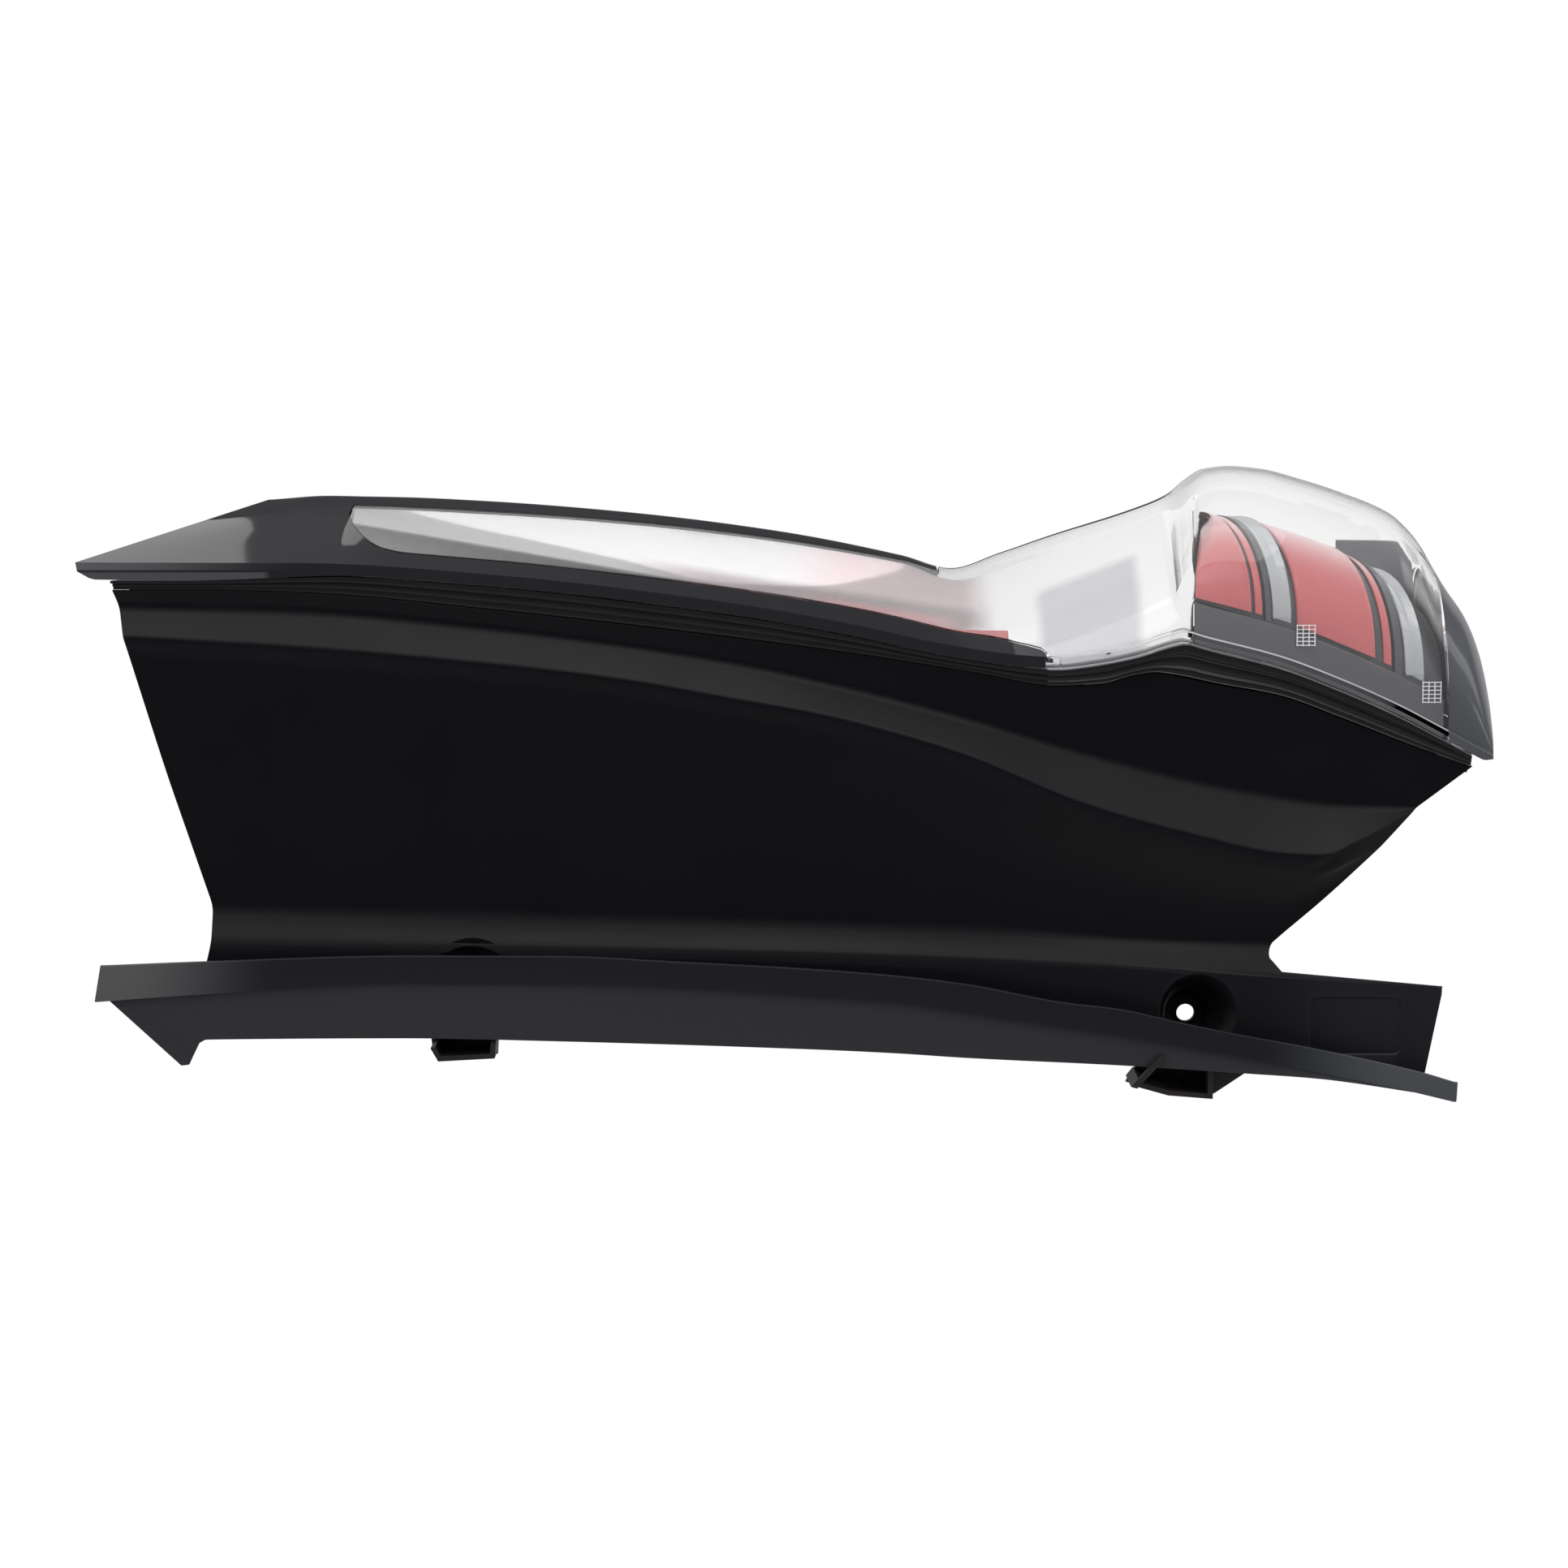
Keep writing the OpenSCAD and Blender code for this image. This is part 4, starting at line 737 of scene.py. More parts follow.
def build_garnish():
    stations = fine([-437, -430, -422, -412, -400, -386, -370, LENS_START, WINDOW_START - WINDOW_GAP]
                    + SHARED + [FAR_STRIP_END, -84, -72, -64, WINDOW_END], STEP)
    owner = [k for k, cut in enumerate([1, 3] + [4] * 10) for _ in range(cut)]

    def row(x, inside):
        foot = curve(NEAR_EDGE, x)
        w = max(GARNISH_WALL, curve(GARNISH_TIP, x)) if inside else 0.0
        near, far = near_line(x, -WINDOW_GAP), far_line(x, 2 * WINDOW_GAP)
        shares = [mix(near, far, f) for f in span(0, 1, 5)] + FAR_SHARES
        out = [slanted(x, w if inside else 0.8, foot - curve(GARNISH_SIDE, x))]
        out += [mix(np.array(slanted(x, w, foot)), np.array(lens_point(x, shares[0], w)), t)
                for t in (0.0, 1 / 3, 2 / 3)]
        for a, b in zip(shares, shares[1:]):
            out += [lens_point(x, mix(a, b, i / 4), w) for i in range(4)]
        return out + [lens_point(x, shares[-1], w)]

    def keep(i, j):
        k, x = owner[j], stations[i]
        return (x < WINDOW_START - WINDOW_GAP or k < 2 or k >= 7) and (x < FAR_STRIP_END or k < 2)

    def end_row(x, low):
        points = [lens_point(x, s, GARNISH_WALL / 2) for s in END_WALL_SHARES]
        return [(a, y, END_WALL_FOOT - END_WALL_FALL * y if low else max(z, END_WALL_TOP))
                for a, y, z in points]

    return finished("gloss_garnish", joined([walled(row, stations, keep), walled(end_row, END_WALL)]),
                    "gloss_black", 28)


CAP_BASE = 100.2
CAP_OUT = 1.5
CAP_FALL = 0.105
CAP_DROP = [(LENS_END, LENS_FOOT), (116, 4.4), (120.6, 2)]
CAP_SHARES = fine([0, 0.05, 0.1, 0.17, 0.25, 0.33, 0.42, 0.5, 0.6, 0.72, 0.86, 1], 0.025)


def build_cap():
    def row(x, inside):
        foot, w = curve(NEAR_EDGE, x), GARNISH_WALL if inside else 0.0
        return ([slanted(x, w - CAP_OUT, foot - curve(CAP_DROP, x)),
                 slanted(x, w - CAP_OUT, foot - 0.8 - w * 0.6)]
                + [lens_point(x, s, w) for s in CAP_SHARES])

    def end_row(x, low):
        out = []
        for s in CAP_SHARES:
            p = lens_point(x, s, GARNISH_WALL / 2)
            y = 0.2 if s == 0 else p[1]
            floor = curve(NEAR_EDGE, x) - curve(CAP_DROP, x) + 0.5 - CAP_FALL * y
            out.append(slanted(x, y, max(CAP_BASE, floor) if low else p[2]))
        return out

    mesh = joined([walled(row, fine([LENS_END + GAP, 108, 114, 118.5, 120, 120.6], 1.2)),
                   walled(end_row, [113, 116, 118, 119.6])])
    return finished("end_cap", mesh, "smoked_cap", 35)


RIB_STEPS = [(0, 0.3), (0.04, 0), (0.3, 0), (0.34, 1.3), (0.38, 1), (0.64, 1), (0.66, 2.3), (0.76, 2),
             (0.9, 2), (0.92, 2.3), (0.96, 2.1)]
LEDGE = [(0, 0), (1.2, 0.4), (2.3, 0.8), (3.3, 1.5), (4.2, 2.3), (5, 3.4), (5.5, 5)]
LEDGE_REACH = 5.5
FOOT_GAP = 0.02
FAR_WALL_IN = 6.5
CORNER_CUT = 4
FLOOR_CORNER = 7
END_FLOOR = 9
END_THICK = 5.6
TUB_START = -405
TUB_END = 98
HOLDER_R = 13.3
BULB_HOLE_R = 12.5
ROUND = 64


def housing_ring(x):
    top, foot = flange_top(x), curve(PANEL_TOP, x) + FOOT_GAP
    h, side, w = top - foot, SET_BACK, HOUSING_WALL
    back, far = curve(FAR_ACROSS, x), curve(FAR_EDGE, x)
    end = x <= TUB_START or x >= TUB_END
    low = min(top, far) - END_FLOOR if x < TUB_START or x > TUB_END else curve(TUB_FLOOR, x)
    base = min(top, far) - END_FLOOR + END_THICK if end else low + w
    cut = 0.6 if end else CORNER_CUT + w
    wall, under = back - FAR_WALL_IN, far - GAP - FAR_FLANGE
    across = lambda k: mix(0.8 if k == 0 else 1.6 + k * 0.4, -1.9 + k * 1.6, curve(RIBBED, x))
    outer = [(across(k), top - h * s) for s, k in RIB_STEPS]
    outer += [(side, foot), (side, low + CORNER_CUT), (side + FLOOR_CORNER, low),
              (back - side - CORNER_CUT + 1, low), (wall, low + CORNER_CUT), (wall, under),
              (back + 1, under), (back + 1, far - GAP)]
    inner = [(side + w - LEDGE_REACH + a, top - b) for a, b in LEDGE]
    inner += [(side + w, base + cut), (side + FLOOR_CORNER + 1, base),
              (back - side - CORNER_CUT, base)]
    inner += [(wall - w, z) for z in (base + cut, far - 2 * w, far - w, far - GAP)]
    ring = [slanted(x, y, z) for y, z in outer + inner[::-1]]
    return soften(ring, {k: 0.15 for k in range(len(RIB_STEPS))}, 2)


def build_housing():
    """The tub; the bevels on its ribs that face up are painted lighter as a painted highlight."""
    stations = fine([-424, -415, TUB_START], 3)
    stations += fine([TUB_START + 3, -390, -370, -345, -310, -270, -110, -96, -20, 60,
                      TUB_END - 3], 3)
    stations += fine([TUB_END, 105, 112], 2)
    obj = make_mesh("rear_housing", *loft([housing_ring(x) for x in stations]),
                    material("black_housing"), 25)
    hole = rod((*BULB, 97.5), (*BULB, 105), HOLDER_R, ROUND)
    combine(obj, [make_mesh("holder_hole", *hole)], "DIFFERENCE")
    # Painted highlight: up-facing faces of the ribbed flange get a lighter grey material
    painted_highlight_faces(obj, "rib_edge", lambda c, n: c.x > WINDOW_END and c.y < 6 and n.z > 0.25)
    return settle(obj, "black_housing", "rear_housing")


def lower(points, drop):
    return [(x, z + drop) for x, z in points]


WEB_TOP = lower(RAIL_FOOT, RAIL_WALL)
HALF_WAY = [(x, mix(curve(CREASE_2, x), curve(SOFT_LINE, x), 0.5))
            for x in (-401.5, -275, -147, -42, 20, 53.5)]
PANEL_ROWS = [
    (-423, 112.8, PANEL_TOP, [(0, 2)]),
    (-420.5, 91, CREASE_1, [(0, 4)]),
    (-418, 89.5, CREASE_2, CREASE_2_ACROSS),
    (-416, 76.5, lower(CREASE_2, -7), lower(CREASE_2_ACROSS, 1.2)),
    (-401.5, 54.2, HALF_WAY, [(0, -6)]),
    (-384, 33, SOFT_LINE, [(0, -5.5)]),
    (-384, 31.8, FLARE_1, [(0, -8.5)]),
    (-384, 35.6, FLARE_2, [(0, -12.2)]),
    (-384.5, 100.3, BAND_TOP, [(0, BAND_ACROSS)]),
    (-388, 92.6, WEB_TOP, [(0, BAND_ACROSS)]),
    (-427, 105, WEB_TOP, [(0, RAIL_FRONT + RAIL_WALL)]),
    (-426, 105, RAIL_TOP, [(0, RAIL_FRONT + RAIL_WALL)]),
    (-426, 105, RAIL_TOP, [(0, RAIL_FRONT)]),
    (-428.5, 104.6, RAIL_FOOT, [(0, RAIL_FRONT)]),
    (-423, 91.1, RAIL_FOOT, [(0, FOOT_ACROSS)]),
    (-395, 90.8, PANEL_FOOT, [(0, FOOT_ACROSS)]),
    (-388, 92.6, RAIL_FOOT, [(0, BAND_ACROSS)]),
]
WALL_ROWS = [15, 14, 16, 8, 7, 6, 5, 4, 3, 2, 1, 0]
FRONT_ROUND = {0: 0.5, 1: 3, 2: 1.6, 3: 3, 4: 12, 5: 5, 6: 4, 7: 4, 8: 3, 9: 0.6, 10: 0.6, 11: 0.5,
               12: 0.6, 13: 0.6, 14: 0.3, 15: 0.5}


def panel_ring(f):
    ring = []
    for back, rows in ((0, range(16)), (PANEL_WALL, WALL_ROWS)):
        for k in rows:
            x0, x1, height, across = PANEL_ROWS[k]
            x = mix(x0, x1, f)
            ring.append((x, curve(across, x) + back, curve(height, x)))
    return soften(ring, {**FRONT_ROUND, 16: 0.4, 27: 0.4}, 3)


def pocket_rings(x, z, rings):
    """Round rings of a pocket, by place out of the panel, radius and share of the lean."""
    dx, dz = MOUTH_OFF
    turns = np.linspace(0, 2 * math.pi, ROUND, endpoint=False)
    return [[(x + dx * share + r * math.cos(a), -out, z + dz * share + r * math.sin(a))
             for a in turns] for out, r, share in rings]


def build_panel():
    runs = [0, 0.001, 0.003, 0.006, 0.01] + span(0.0145, 0.9855, 200) + [0.99, 0.994, 0.997, 0.999, 1]
    obj = make_mesh("side_panel", *loft([panel_ring(f) for f in runs]), material("grained_panel"), 30)
    half, mouth, outside = POCKET_FLOOR / 2, -BAND_ACROSS, POCKET_FLOOR_R + POCKET_WALL
    depth = mouth - half
    cup = [(-half, outside, 0), (half, outside, 0), (mouth - 1.5, POCKET_MOUTH_R + POCKET_WALL, 1)]
    hollow = [(half, POCKET_FLOOR_R - 0.6, 0), (half + 0.15, POCKET_FLOOR_R - 0.2, 0),
              (half + 0.6, POCKET_FLOOR_R, 0.02)]
    hollow += [(half + t * depth, mix(POCKET_FLOOR_R, POCKET_MOUTH_R - 0.8, t), t)
               for t in (0.3, 0.6, 0.85)]
    hollow += [(mouth - 0.9, POCKET_MOUTH_R - 0.5, 0.97), (mouth - 0.3, POCKET_MOUTH_R + 0.1, 1),
               (mouth + 0.02, POCKET_MOUTH_R + 0.9, 1), (mouth + 0.6, POCKET_MOUTH_R + 3, 1)]
    cups, cuts = [], []
    for x, z in ((0, 0), LOWER_BOLT):
        cups.append(make_mesh("cup", *drum(pocket_rings(x, z, cup))))
        cuts.append(make_mesh("hollow", *drum(pocket_rings(x, z, hollow))))
        cuts.append(make_mesh("bolt", *rod((x, half + 1, z), (x, -half - 1, z), BOLT_R, ROUND)))
    combine(obj, cups, "UNION")
    x0, z0, w, h = FIELD
    left, right, low, high = x0 + FIELD_R, x0 + w - FIELD_R, z0 + FIELD_R, z0 + h - FIELD_R
    corners = ((left, low), (right, low), (right, high), (left, high))
    rings = [[(x + r * math.cos(a), BAND_ACROSS + y, z + r * math.sin(a))
              for k, (x, z) in enumerate(corners)
              for a in np.linspace(math.pi * (1 + k / 2), math.pi * (1.5 + k / 2), 7)]
             for y, r in ((FIELD_DEPTH, FIELD_R - 0.5), (0.1, FIELD_R - 0.1), (-0.05, FIELD_R + 0.2),
                          (-1, FIELD_R + 0.3))]
    cuts.append(make_mesh("field", *drum(rings)))
    combine(obj, cuts, "DIFFERENCE")
    return settle(obj, "grained_panel", "side_panel")


def chrome_row(x, inside):
    side = SET_BACK + HOUSING_WALL + GAP
    back = curve(FAR_ACROSS, x) - CHROME_FAR
    w = CHROME_WALL if inside else 0.0
    slant = curve(LIGHT_SLANT, x)
    rim = curve(WINDOW_FAR, x) - 0.8
    row = [inset(x, side + w, flange_top(x) - 9), inset(x, side + w, flange_top(x) - 3 - w)]
    first, last = side + 0.4 + w, back - 2 - w
    stops = [first, SHELF_END, rim - 16, rim - 6, rim, rim + RIM_WIDTH, last]
    places = [mix(a, b, i / cut) for a, b, cut in zip(stops, stops[1:], CHROME_CUTS)
              for i in range(cut)]
    for y in places + [last]:
        u = max(0.0, min(1.0, (y - SHELF_END) / (rim - SHELF_END)))
        bowl = (1 - u ** 5) * (1 - (1 - u) ** 6)
        behind = max(0.0, min(1.0, (y - rim) / RIM_WIDTH))
        depth = mix(CHROME_DEPTH, mix(curve(RIM_DEPTH, x), curve(FAR_RISE, x), behind), u ** 4)
        row.append(inset(x, y, lens_height(x + slant * y, y) - w - depth - curve(TROUGH, x) * bowl))
    return row + [inset(x, back - w, curve(FAR_EDGE, x) - 6)]


def build_chrome():
    mesh = walled(chrome_row, fine([-338, -330, -318, -304, -286, -116, -100, -52, -20, 2], STEP))
    obj = make_mesh("chrome_bezel", *mesh, material("bright_reflector"), 30)
    hole = rod((*BULB, 100), (*BULB, 220), BULB_HOLE_R, ROUND)
    combine(obj, [make_mesh("bulb_hole", *hole)], "DIFFERENCE")
    return settle(obj, "bright_reflector", "chrome_bezel")


def light_arch(x, t, out):
    c = arch((LIGHT_NEAR - out, curve(NEAR_EDGE, x) + LIGHT_FOOT),
             (curve(CREST_ACROSS, x), curve(CREST_HEIGHT, x) - LIGHT_DROP + out),
             (curve(FAR_ACROSS, x) - LIGHT_FAR + out, curve(FAR_EDGE, x) + LIGHT_FAR_FOOT),
             LIGHT_FULLNESS, FAR_FULLNESS, t)
    return inset(x, c[0], c[1])


def build_bezel():
    stations = fine([BEZEL_START, 5, 26, 32, 32.6, 34.6, 35.2, 42.6, 79, 83.2, 83.8, 86.8, 87.4, 96,
                     BEZEL_END], 1.5)
    shares = fine([0, 0.06, 0.13, 0.2, 0.28, 0.36, 0.44, 0.5, 0.6, 0.7, 0.8], 0.02)

    def row(x, inside):
        n, w = curve(NEAR_EDGE, x + curve(LIGHT_SLANT, x) * 5), BEZEL_WALL if inside else 0.0
        return ([inset(x, 4.7 + w, n - LENS_FOOT + 0.2), inset(x, 4.7 + w, n - 1),
                 inset(x, 5.4 + w, n + 10.4 - w), inset(x, 6 + w, n + 11.4 - w)]
                + [light_arch(x, t, curve(BEZEL_LIFT, x) - w) for t in shares])

    a, b = BACK_PLATE_ACROSS
    mid, rings = (a + b) / 2, []
    for x in fine(BACK_PLATE, 1.5):
        top = min(BACK_PLATE_TOP, lens_height(x, mid) - BACK_PLATE_GAP)
        rings.append([(x, y, z) for y, z in ((a, BACK_PLATE_FOOT), (b, BACK_PLATE_FOOT), (b, top),
                                             (mid, top + 0.4), (a, top))])
    return finished("bulge_bezel", joined([walled(row, stations), loft(rings)]), "grey_bezel")


def swept(section, shares):
    """Closed band along the arch; its section has places along the lamp and heights over it."""
    flat = [Vector((x, o * 5, 0)) for x, o in section]
    return capped([[light_arch(x, t, o) for x, o in section] for t in shares], flat, flat)


def build_red(name, *bands):
    """A C-shaped cover and the narrow band beside it, with rounded long edges."""
    parts = []
    for (x0, x1), wall in bands:
        top, r = GAP + wall, min(1.0, 0.6 * wall)
        profile = [(0, GAP), (0, top - r), (0.12 * r, top - 0.6 * r), (0.4 * r, top - 0.2 * r),
                   (0.9 * r, top)]
        section = [(x0 + a, o) for a, o in profile]
        section += [(x, top) for x in fine([x0 + 0.9 * r, x1 - 0.9 * r], 2)[1:-1]]
        section += [(x1 - a, o) for a, o in profile[::-1]]
        section += [(x, GAP) for x in fine([x0, x1], 2)[1:-1]][::-1]
        parts.append(swept(section, fine([0.01, 0.6], 0.008)))
    return finished(name, joined(parts), "red_cover", 40)


# The red strip: its edges across the lamp, its thickness and the depth of its flutes
STRIP_NEAR = 14.6
STRIP_FAR = [(-282, 17), (-160, 18), (-130, 22), (-90, 24), (-70, 20)]
STRIP_THICK = 1.4
STRIP_FLUTE = 0.18


def build_strip():
    """Red strip with fine flutes along it."""
    def row(x, inside):
        out, d = [], 0.0 if inside else STRIP_THICK
        for k, f in enumerate(span(0, 1, 24)):
            y = mix(STRIP_NEAR, curve(STRIP_FAR, x), f)
            edge = min(1.0, 8 * f, 8 * (1 - f))
            flute = 0.0 if inside else STRIP_FLUTE * (k % 2)
            under = lens_height(x, y) - CHROME_DEPTH + 0.8
            out.append((x, y, under + d * (0.7 + 0.3 * edge) - flute))
        return out

    return finished("red_reflex_strip", walled(row, fine([-282, -90, -70], 2)), "red_cover", 25)


def build_pad(name, x):
    """Small grid of round rods."""
    w, h = PAD_SIZE
    z = curve(NEAR_EDGE, x + w / 2) + PAD_LIFT
    shape = make_mesh(name + "_rod", *rod((0, 0, -h / 2), (0, 0, h / 2), UPRIGHT_R))
    path = [(x + PAD_EDGE + (w - 2 * PAD_EDGE) * f, PAD_ACROSS, z + h / 2) for f in span(0, 1, 12)]
    across = [rod((x, PAD_ACROSS, level), (x + w, PAD_ACROSS, level), CROSS_R)
              for level in span(z + PAD_EDGE, z + h - PAD_EDGE, PAD_GAPS)]
    body = make_mesh(name + "_rods", *joined(across))
    # The rods are white of their own; they share the material of the lens lip's painted highlight
    obj = repeat(name, path, shape, body, PAD_UPRIGHTS, material("lens_edge"), turned=False)
    return settle(obj, "frosted_optic", name)


# Geometry Nodes
def repeat_tree(name):
    """Instances a shape along a path, turned with it, and adds the piece below."""
    if name in bpy.data.node_groups:
        return bpy.data.node_groups[name]
    tree = bpy.data.node_groups.new(name, "GeometryNodeTree")
    for label, kind in (("Geometry", "Geometry"), ("Shape", "Object"), ("Body", "Object"),
                        ("Count", "Int"), ("Turned", "Bool"), ("Material", "Material")):
        tree.interface.new_socket(label, in_out="INPUT", socket_type="NodeSocket" + kind)
    tree.interface.new_socket("Geometry", in_out="OUTPUT", socket_type="NodeSocketGeometry")
    gin, gout = tree.nodes.new("NodeGroupInput"), tree.nodes.new("NodeGroupOutput")
    line = add_node(tree, "GeometryNodeMeshToCurve", {"Mesh": gin.outputs["Geometry"]})
    points = add_node(tree, "GeometryNodeResampleCurve",
                      {"Curve": line, "Count": gin.outputs["Count"]})
    tangent = add_node(tree, "GeometryNodeInputTangent")
    align = add_node(tree, "FunctionNodeAlignRotationToVector", {"Vector": tangent},
                     axis="Y", pivot_axis="X")
    turn = add_node(tree, "GeometryNodeSwitch",
                    {"Switch": gin.outputs["Turned"], "True": align},
                    input_type="ROTATION")
    shape, body = (add_node(tree, "GeometryNodeObjectInfo", {"Object": gin.outputs[label]})
                   for label in ("Shape", "Body"))
    put = add_node(tree, "GeometryNodeInstanceOnPoints",
                   {"Points": points, "Instance": shape.outputs["Geometry"],
                    "Rotation": turn})
    join = add_node(tree, "GeometryNodeJoinGeometry", {"Geometry": put})
    tree.links.new(body.outputs["Geometry"], join.inputs["Geometry"])
    real = add_node(tree, "GeometryNodeRealizeInstances", {"Geometry": join})
    paint = add_node(tree, "GeometryNodeSetMaterial",
                     {"Geometry": real, "Material": gin.outputs["Material"]})
    tree.links.new(paint.outputs["Geometry"], gout.inputs["Geometry"])
    return tree


def repeat(name, path, shape, body, count, mat, turned=True):
    """A plain mesh: shape repeated along a path of points, with a body below it."""
    mesh = bpy.data.meshes.new(name)
    mesh.from_pydata([tuple(c * MM for c in p) for p in path],
                     [(i, i + 1) for i in range(len(path) - 1)], [])
    obj = bpy.data.objects.new(name, mesh)
    bpy.context.scene.collection.objects.link(obj)
    m = obj.modifiers.new("repeat", "NODES")
    m.node_group = repeat_tree("Repeat along a path")
    values = {"Shape": shape, "Body": body, "Count": count, "Turned": turned, "Material": mat}
    for item in m.node_group.interface.items_tree:
        if item.item_type == "SOCKET" and item.in_out == "INPUT" and item.name in values:
            m[item.identifier] = values[item.name]
    bpy.context.view_layer.update()
    baked(obj, 30)
    for other in (shape, body):
        bpy.data.objects.remove(other)
    return obj


# A bar's fine ribs, by half their width, their height and how deep they sit, and its shoulder and top
RIB_HALF = 0.62
RIB_HEIGHT = 0.55
RIB_SUNK = 0.1
BAR_SHOULDER = 1.0
BAR_TOP = 1.2


def build_bar(name, ends, count):
    """A clear bar with a row of fine ribs across it."""
    x0, x1 = ends
    half = (x1 - x0) / 2
    section = [(x0, GAP), (x0, GAP + BAR_SHOULDER), (x0 + 0.2, GAP + BAR_TOP),
               (x1 - 0.2, GAP + BAR_TOP), (x1, GAP + BAR_SHOULDER), (x1, GAP)]
    body = make_mesh(name + "_body", *swept(section, fine([0.012, 0.55], 0.006)))
    prism = [(s * half, y, z) for s in (-1, 1)
             for y, z in ((-RIB_HALF, -RIB_SUNK), (0, RIB_HEIGHT), (RIB_HALF, -RIB_SUNK))]
    sides = [(0, 1, 2), (3, 5, 4), (0, 3, 4, 1), (1, 4, 5, 2), (2, 5, 3, 0)]
    shape = make_mesh(name + "_rib", prism, sides)
    path = [light_arch((x0 + x1) / 2, t, GAP + BAR_TOP) for t in fine([0.02, 0.545], 0.004)]
    obj = repeat(name, path, shape, body, count, material("frosted_optic"))
    return settle(obj, "frosted_optic", name)


# The room seen by reflections, as an angle over the horizon and a brightness there
FRONT_ROOM = [(-90, 0.5), (-20, 0.4), (-10, 0.12), (-5, 0.03), (8, 0.03), (25, 0.15), (45, 0.6),
              (90, 0.9)]
BACK_ROOM = [(-90, 0.5), (-20, 0.45), (-2, 0.4), (8, 0.4), (13, 0.1), (20, 0.12), (32, 0.24),
             (56, 0.35), (90, 0.8)]
LIGHT_TARGET = (-0.16, 0, 0.08)


def room_world():
    """Rays that meet no piece see white; the others see a table, a dark room and a soft box above."""
    world = bpy.data.worlds.new("studio")
    world.use_nodes = True
    tree = world.node_tree
    path = add_node(tree, "ShaderNodeLightPath")
    coord = add_node(tree, "ShaderNodeTexCoord")
    split = add_node(tree, "ShaderNodeSeparateXYZ", {0: coord.outputs["Generated"]})
    height = add_node(tree, "ShaderNodeMapRange", {"Value": split.outputs["Z"], "From Min": -1.0})
    sides = []
    for stops in (FRONT_ROOM, BACK_ROOM):
        ramp = add_node(tree, "ShaderNodeValToRGB", {"Fac": height})
        points = ramp.color_ramp.elements
        points.remove(points[1])
        for angle, value in stops:
            place = 0.5 + 0.5 * math.sin(math.radians(angle))
            point = points[0] if place == 0 else points.new(place)
            point.color = (value, value, value * 1.03, 1)
        sides.append(ramp)
    behind = add_node(tree, "ShaderNodeMapRange",
                      {"Value": split.outputs["Y"], "From Min": -0.15, "From Max": 0.15})
    room = add_node(tree, "ShaderNodeMix",
                    {"Factor": behind, "A": sides[0], "B": sides[1]}, data_type="RGBA")
    seen = add_node(tree, "ShaderNodeMath",
                    {0: path.outputs["Is Camera Ray"], 1: path.outputs["Is Transmission Ray"]},
                    operation="MAXIMUM")
    white = add_node(tree, "ShaderNodeMix",
                     {"Factor": seen, "A": room.outputs["Result"], "B": (1, 1, 1, 1)},
                     data_type="RGBA")
    tree.links.new(white.outputs["Result"], tree.nodes["Background"].inputs["Color"])
    return world


# Operators
class LAMP_PG_finish(bpy.types.PropertyGroup):
    garnish_colour: bpy.props.FloatVectorProperty(
        name="Garnish colour", description="Colour of the gloss frame", subtype="COLOR",
        default=(0.003, 0.0034, 0.008))
    cap_colour: bpy.props.FloatVectorProperty(
        name="End cap colour", description="Colour of the smoked end cap", subtype="COLOR",
        default=(0.16, 0.165, 0.18))
    panel_colour: bpy.props.FloatVectorProperty(
        name="Panel colour", description="Colour of the grained panel", subtype="COLOR",
        default=(0.002, 0.0023, 0.0042))
    # Painted light: the rail's lighter colour stands for light falling on the rail and lower flange
    rail_painted_light_colour: bpy.props.FloatVectorProperty(
        name="Rail colour", description="Colour of the panel's rail and lower flange",
        subtype="COLOR", default=(0.019, 0.02, 0.026))
    bezel_colour: bpy.props.FloatVectorProperty(
        name="Bezel colour", description="Colour of the dark bezel in the bulge", subtype="COLOR",
        default=(0.076, 0.078, 0.086))
    red_colour: bpy.props.FloatVectorProperty(
        name="Red colour", description="Colour of the red light covers", subtype="COLOR",
        default=(0.52, 0.13, 0.135))
    panel_roughness: bpy.props.FloatProperty(
        name="Panel roughness", description="Roughness of the grained panel", default=0.45,
        min=0, max=1, subtype="FACTOR")
    grain_size: bpy.props.FloatProperty(
        name="Grain size", description="Size of the panel's grain", default=0.0009, unit="LENGTH")
    grain_depth: bpy.props.FloatProperty(
        name="Grain depth", description="Depth of the panel's grain", default=0.00004, unit="LENGTH")


class LAMP_PG_lights(bpy.types.PropertyGroup):
    ribs: bpy.props.IntProperty(
        name="Ribs", description="Number of ribs on each light bar", default=86, min=10, max=200)


class LAMP_PG_stage(bpy.types.PropertyGroup):
    distance: bpy.props.FloatProperty(
        name="Camera distance", description="Distance of the camera from its target", default=1.8,
        unit="LENGTH")
    elevation: bpy.props.FloatProperty(
        name="Camera elevation", description="Height of the camera over the lamp as an angle",
        default=math.radians(6), subtype="ANGLE")
    key: bpy.props.FloatProperty(
        name="Key light", description="Power of the soft box above the lamp", default=5.0,
        unit="POWER")
    sides: bpy.props.FloatProperty(
        name="Side lights", description="Power of each side strip as a share of the key light",
        default=0.4, min=0, subtype="FACTOR")
    cap_card: bpy.props.FloatProperty(
        name="End cap light",
        description="Power of the card beside the end cap as a share of the key light",
        default=0.3, min=0, subtype="FACTOR")
    tip_card: bpy.props.FloatProperty(
        name="Tip light",
        description="Power of the card mirrored in the frame's tip, as a share of the key",
        default=0.19, min=0, subtype="FACTOR")


class LAMP_OT_lens(bpy.types.Operator):
    """Builds the clear lens"""
    bl_idname = "lamp.lens"
    bl_label = "Clear lens"

    def execute(self, context):
        build_lens()
        return {"FINISHED"}


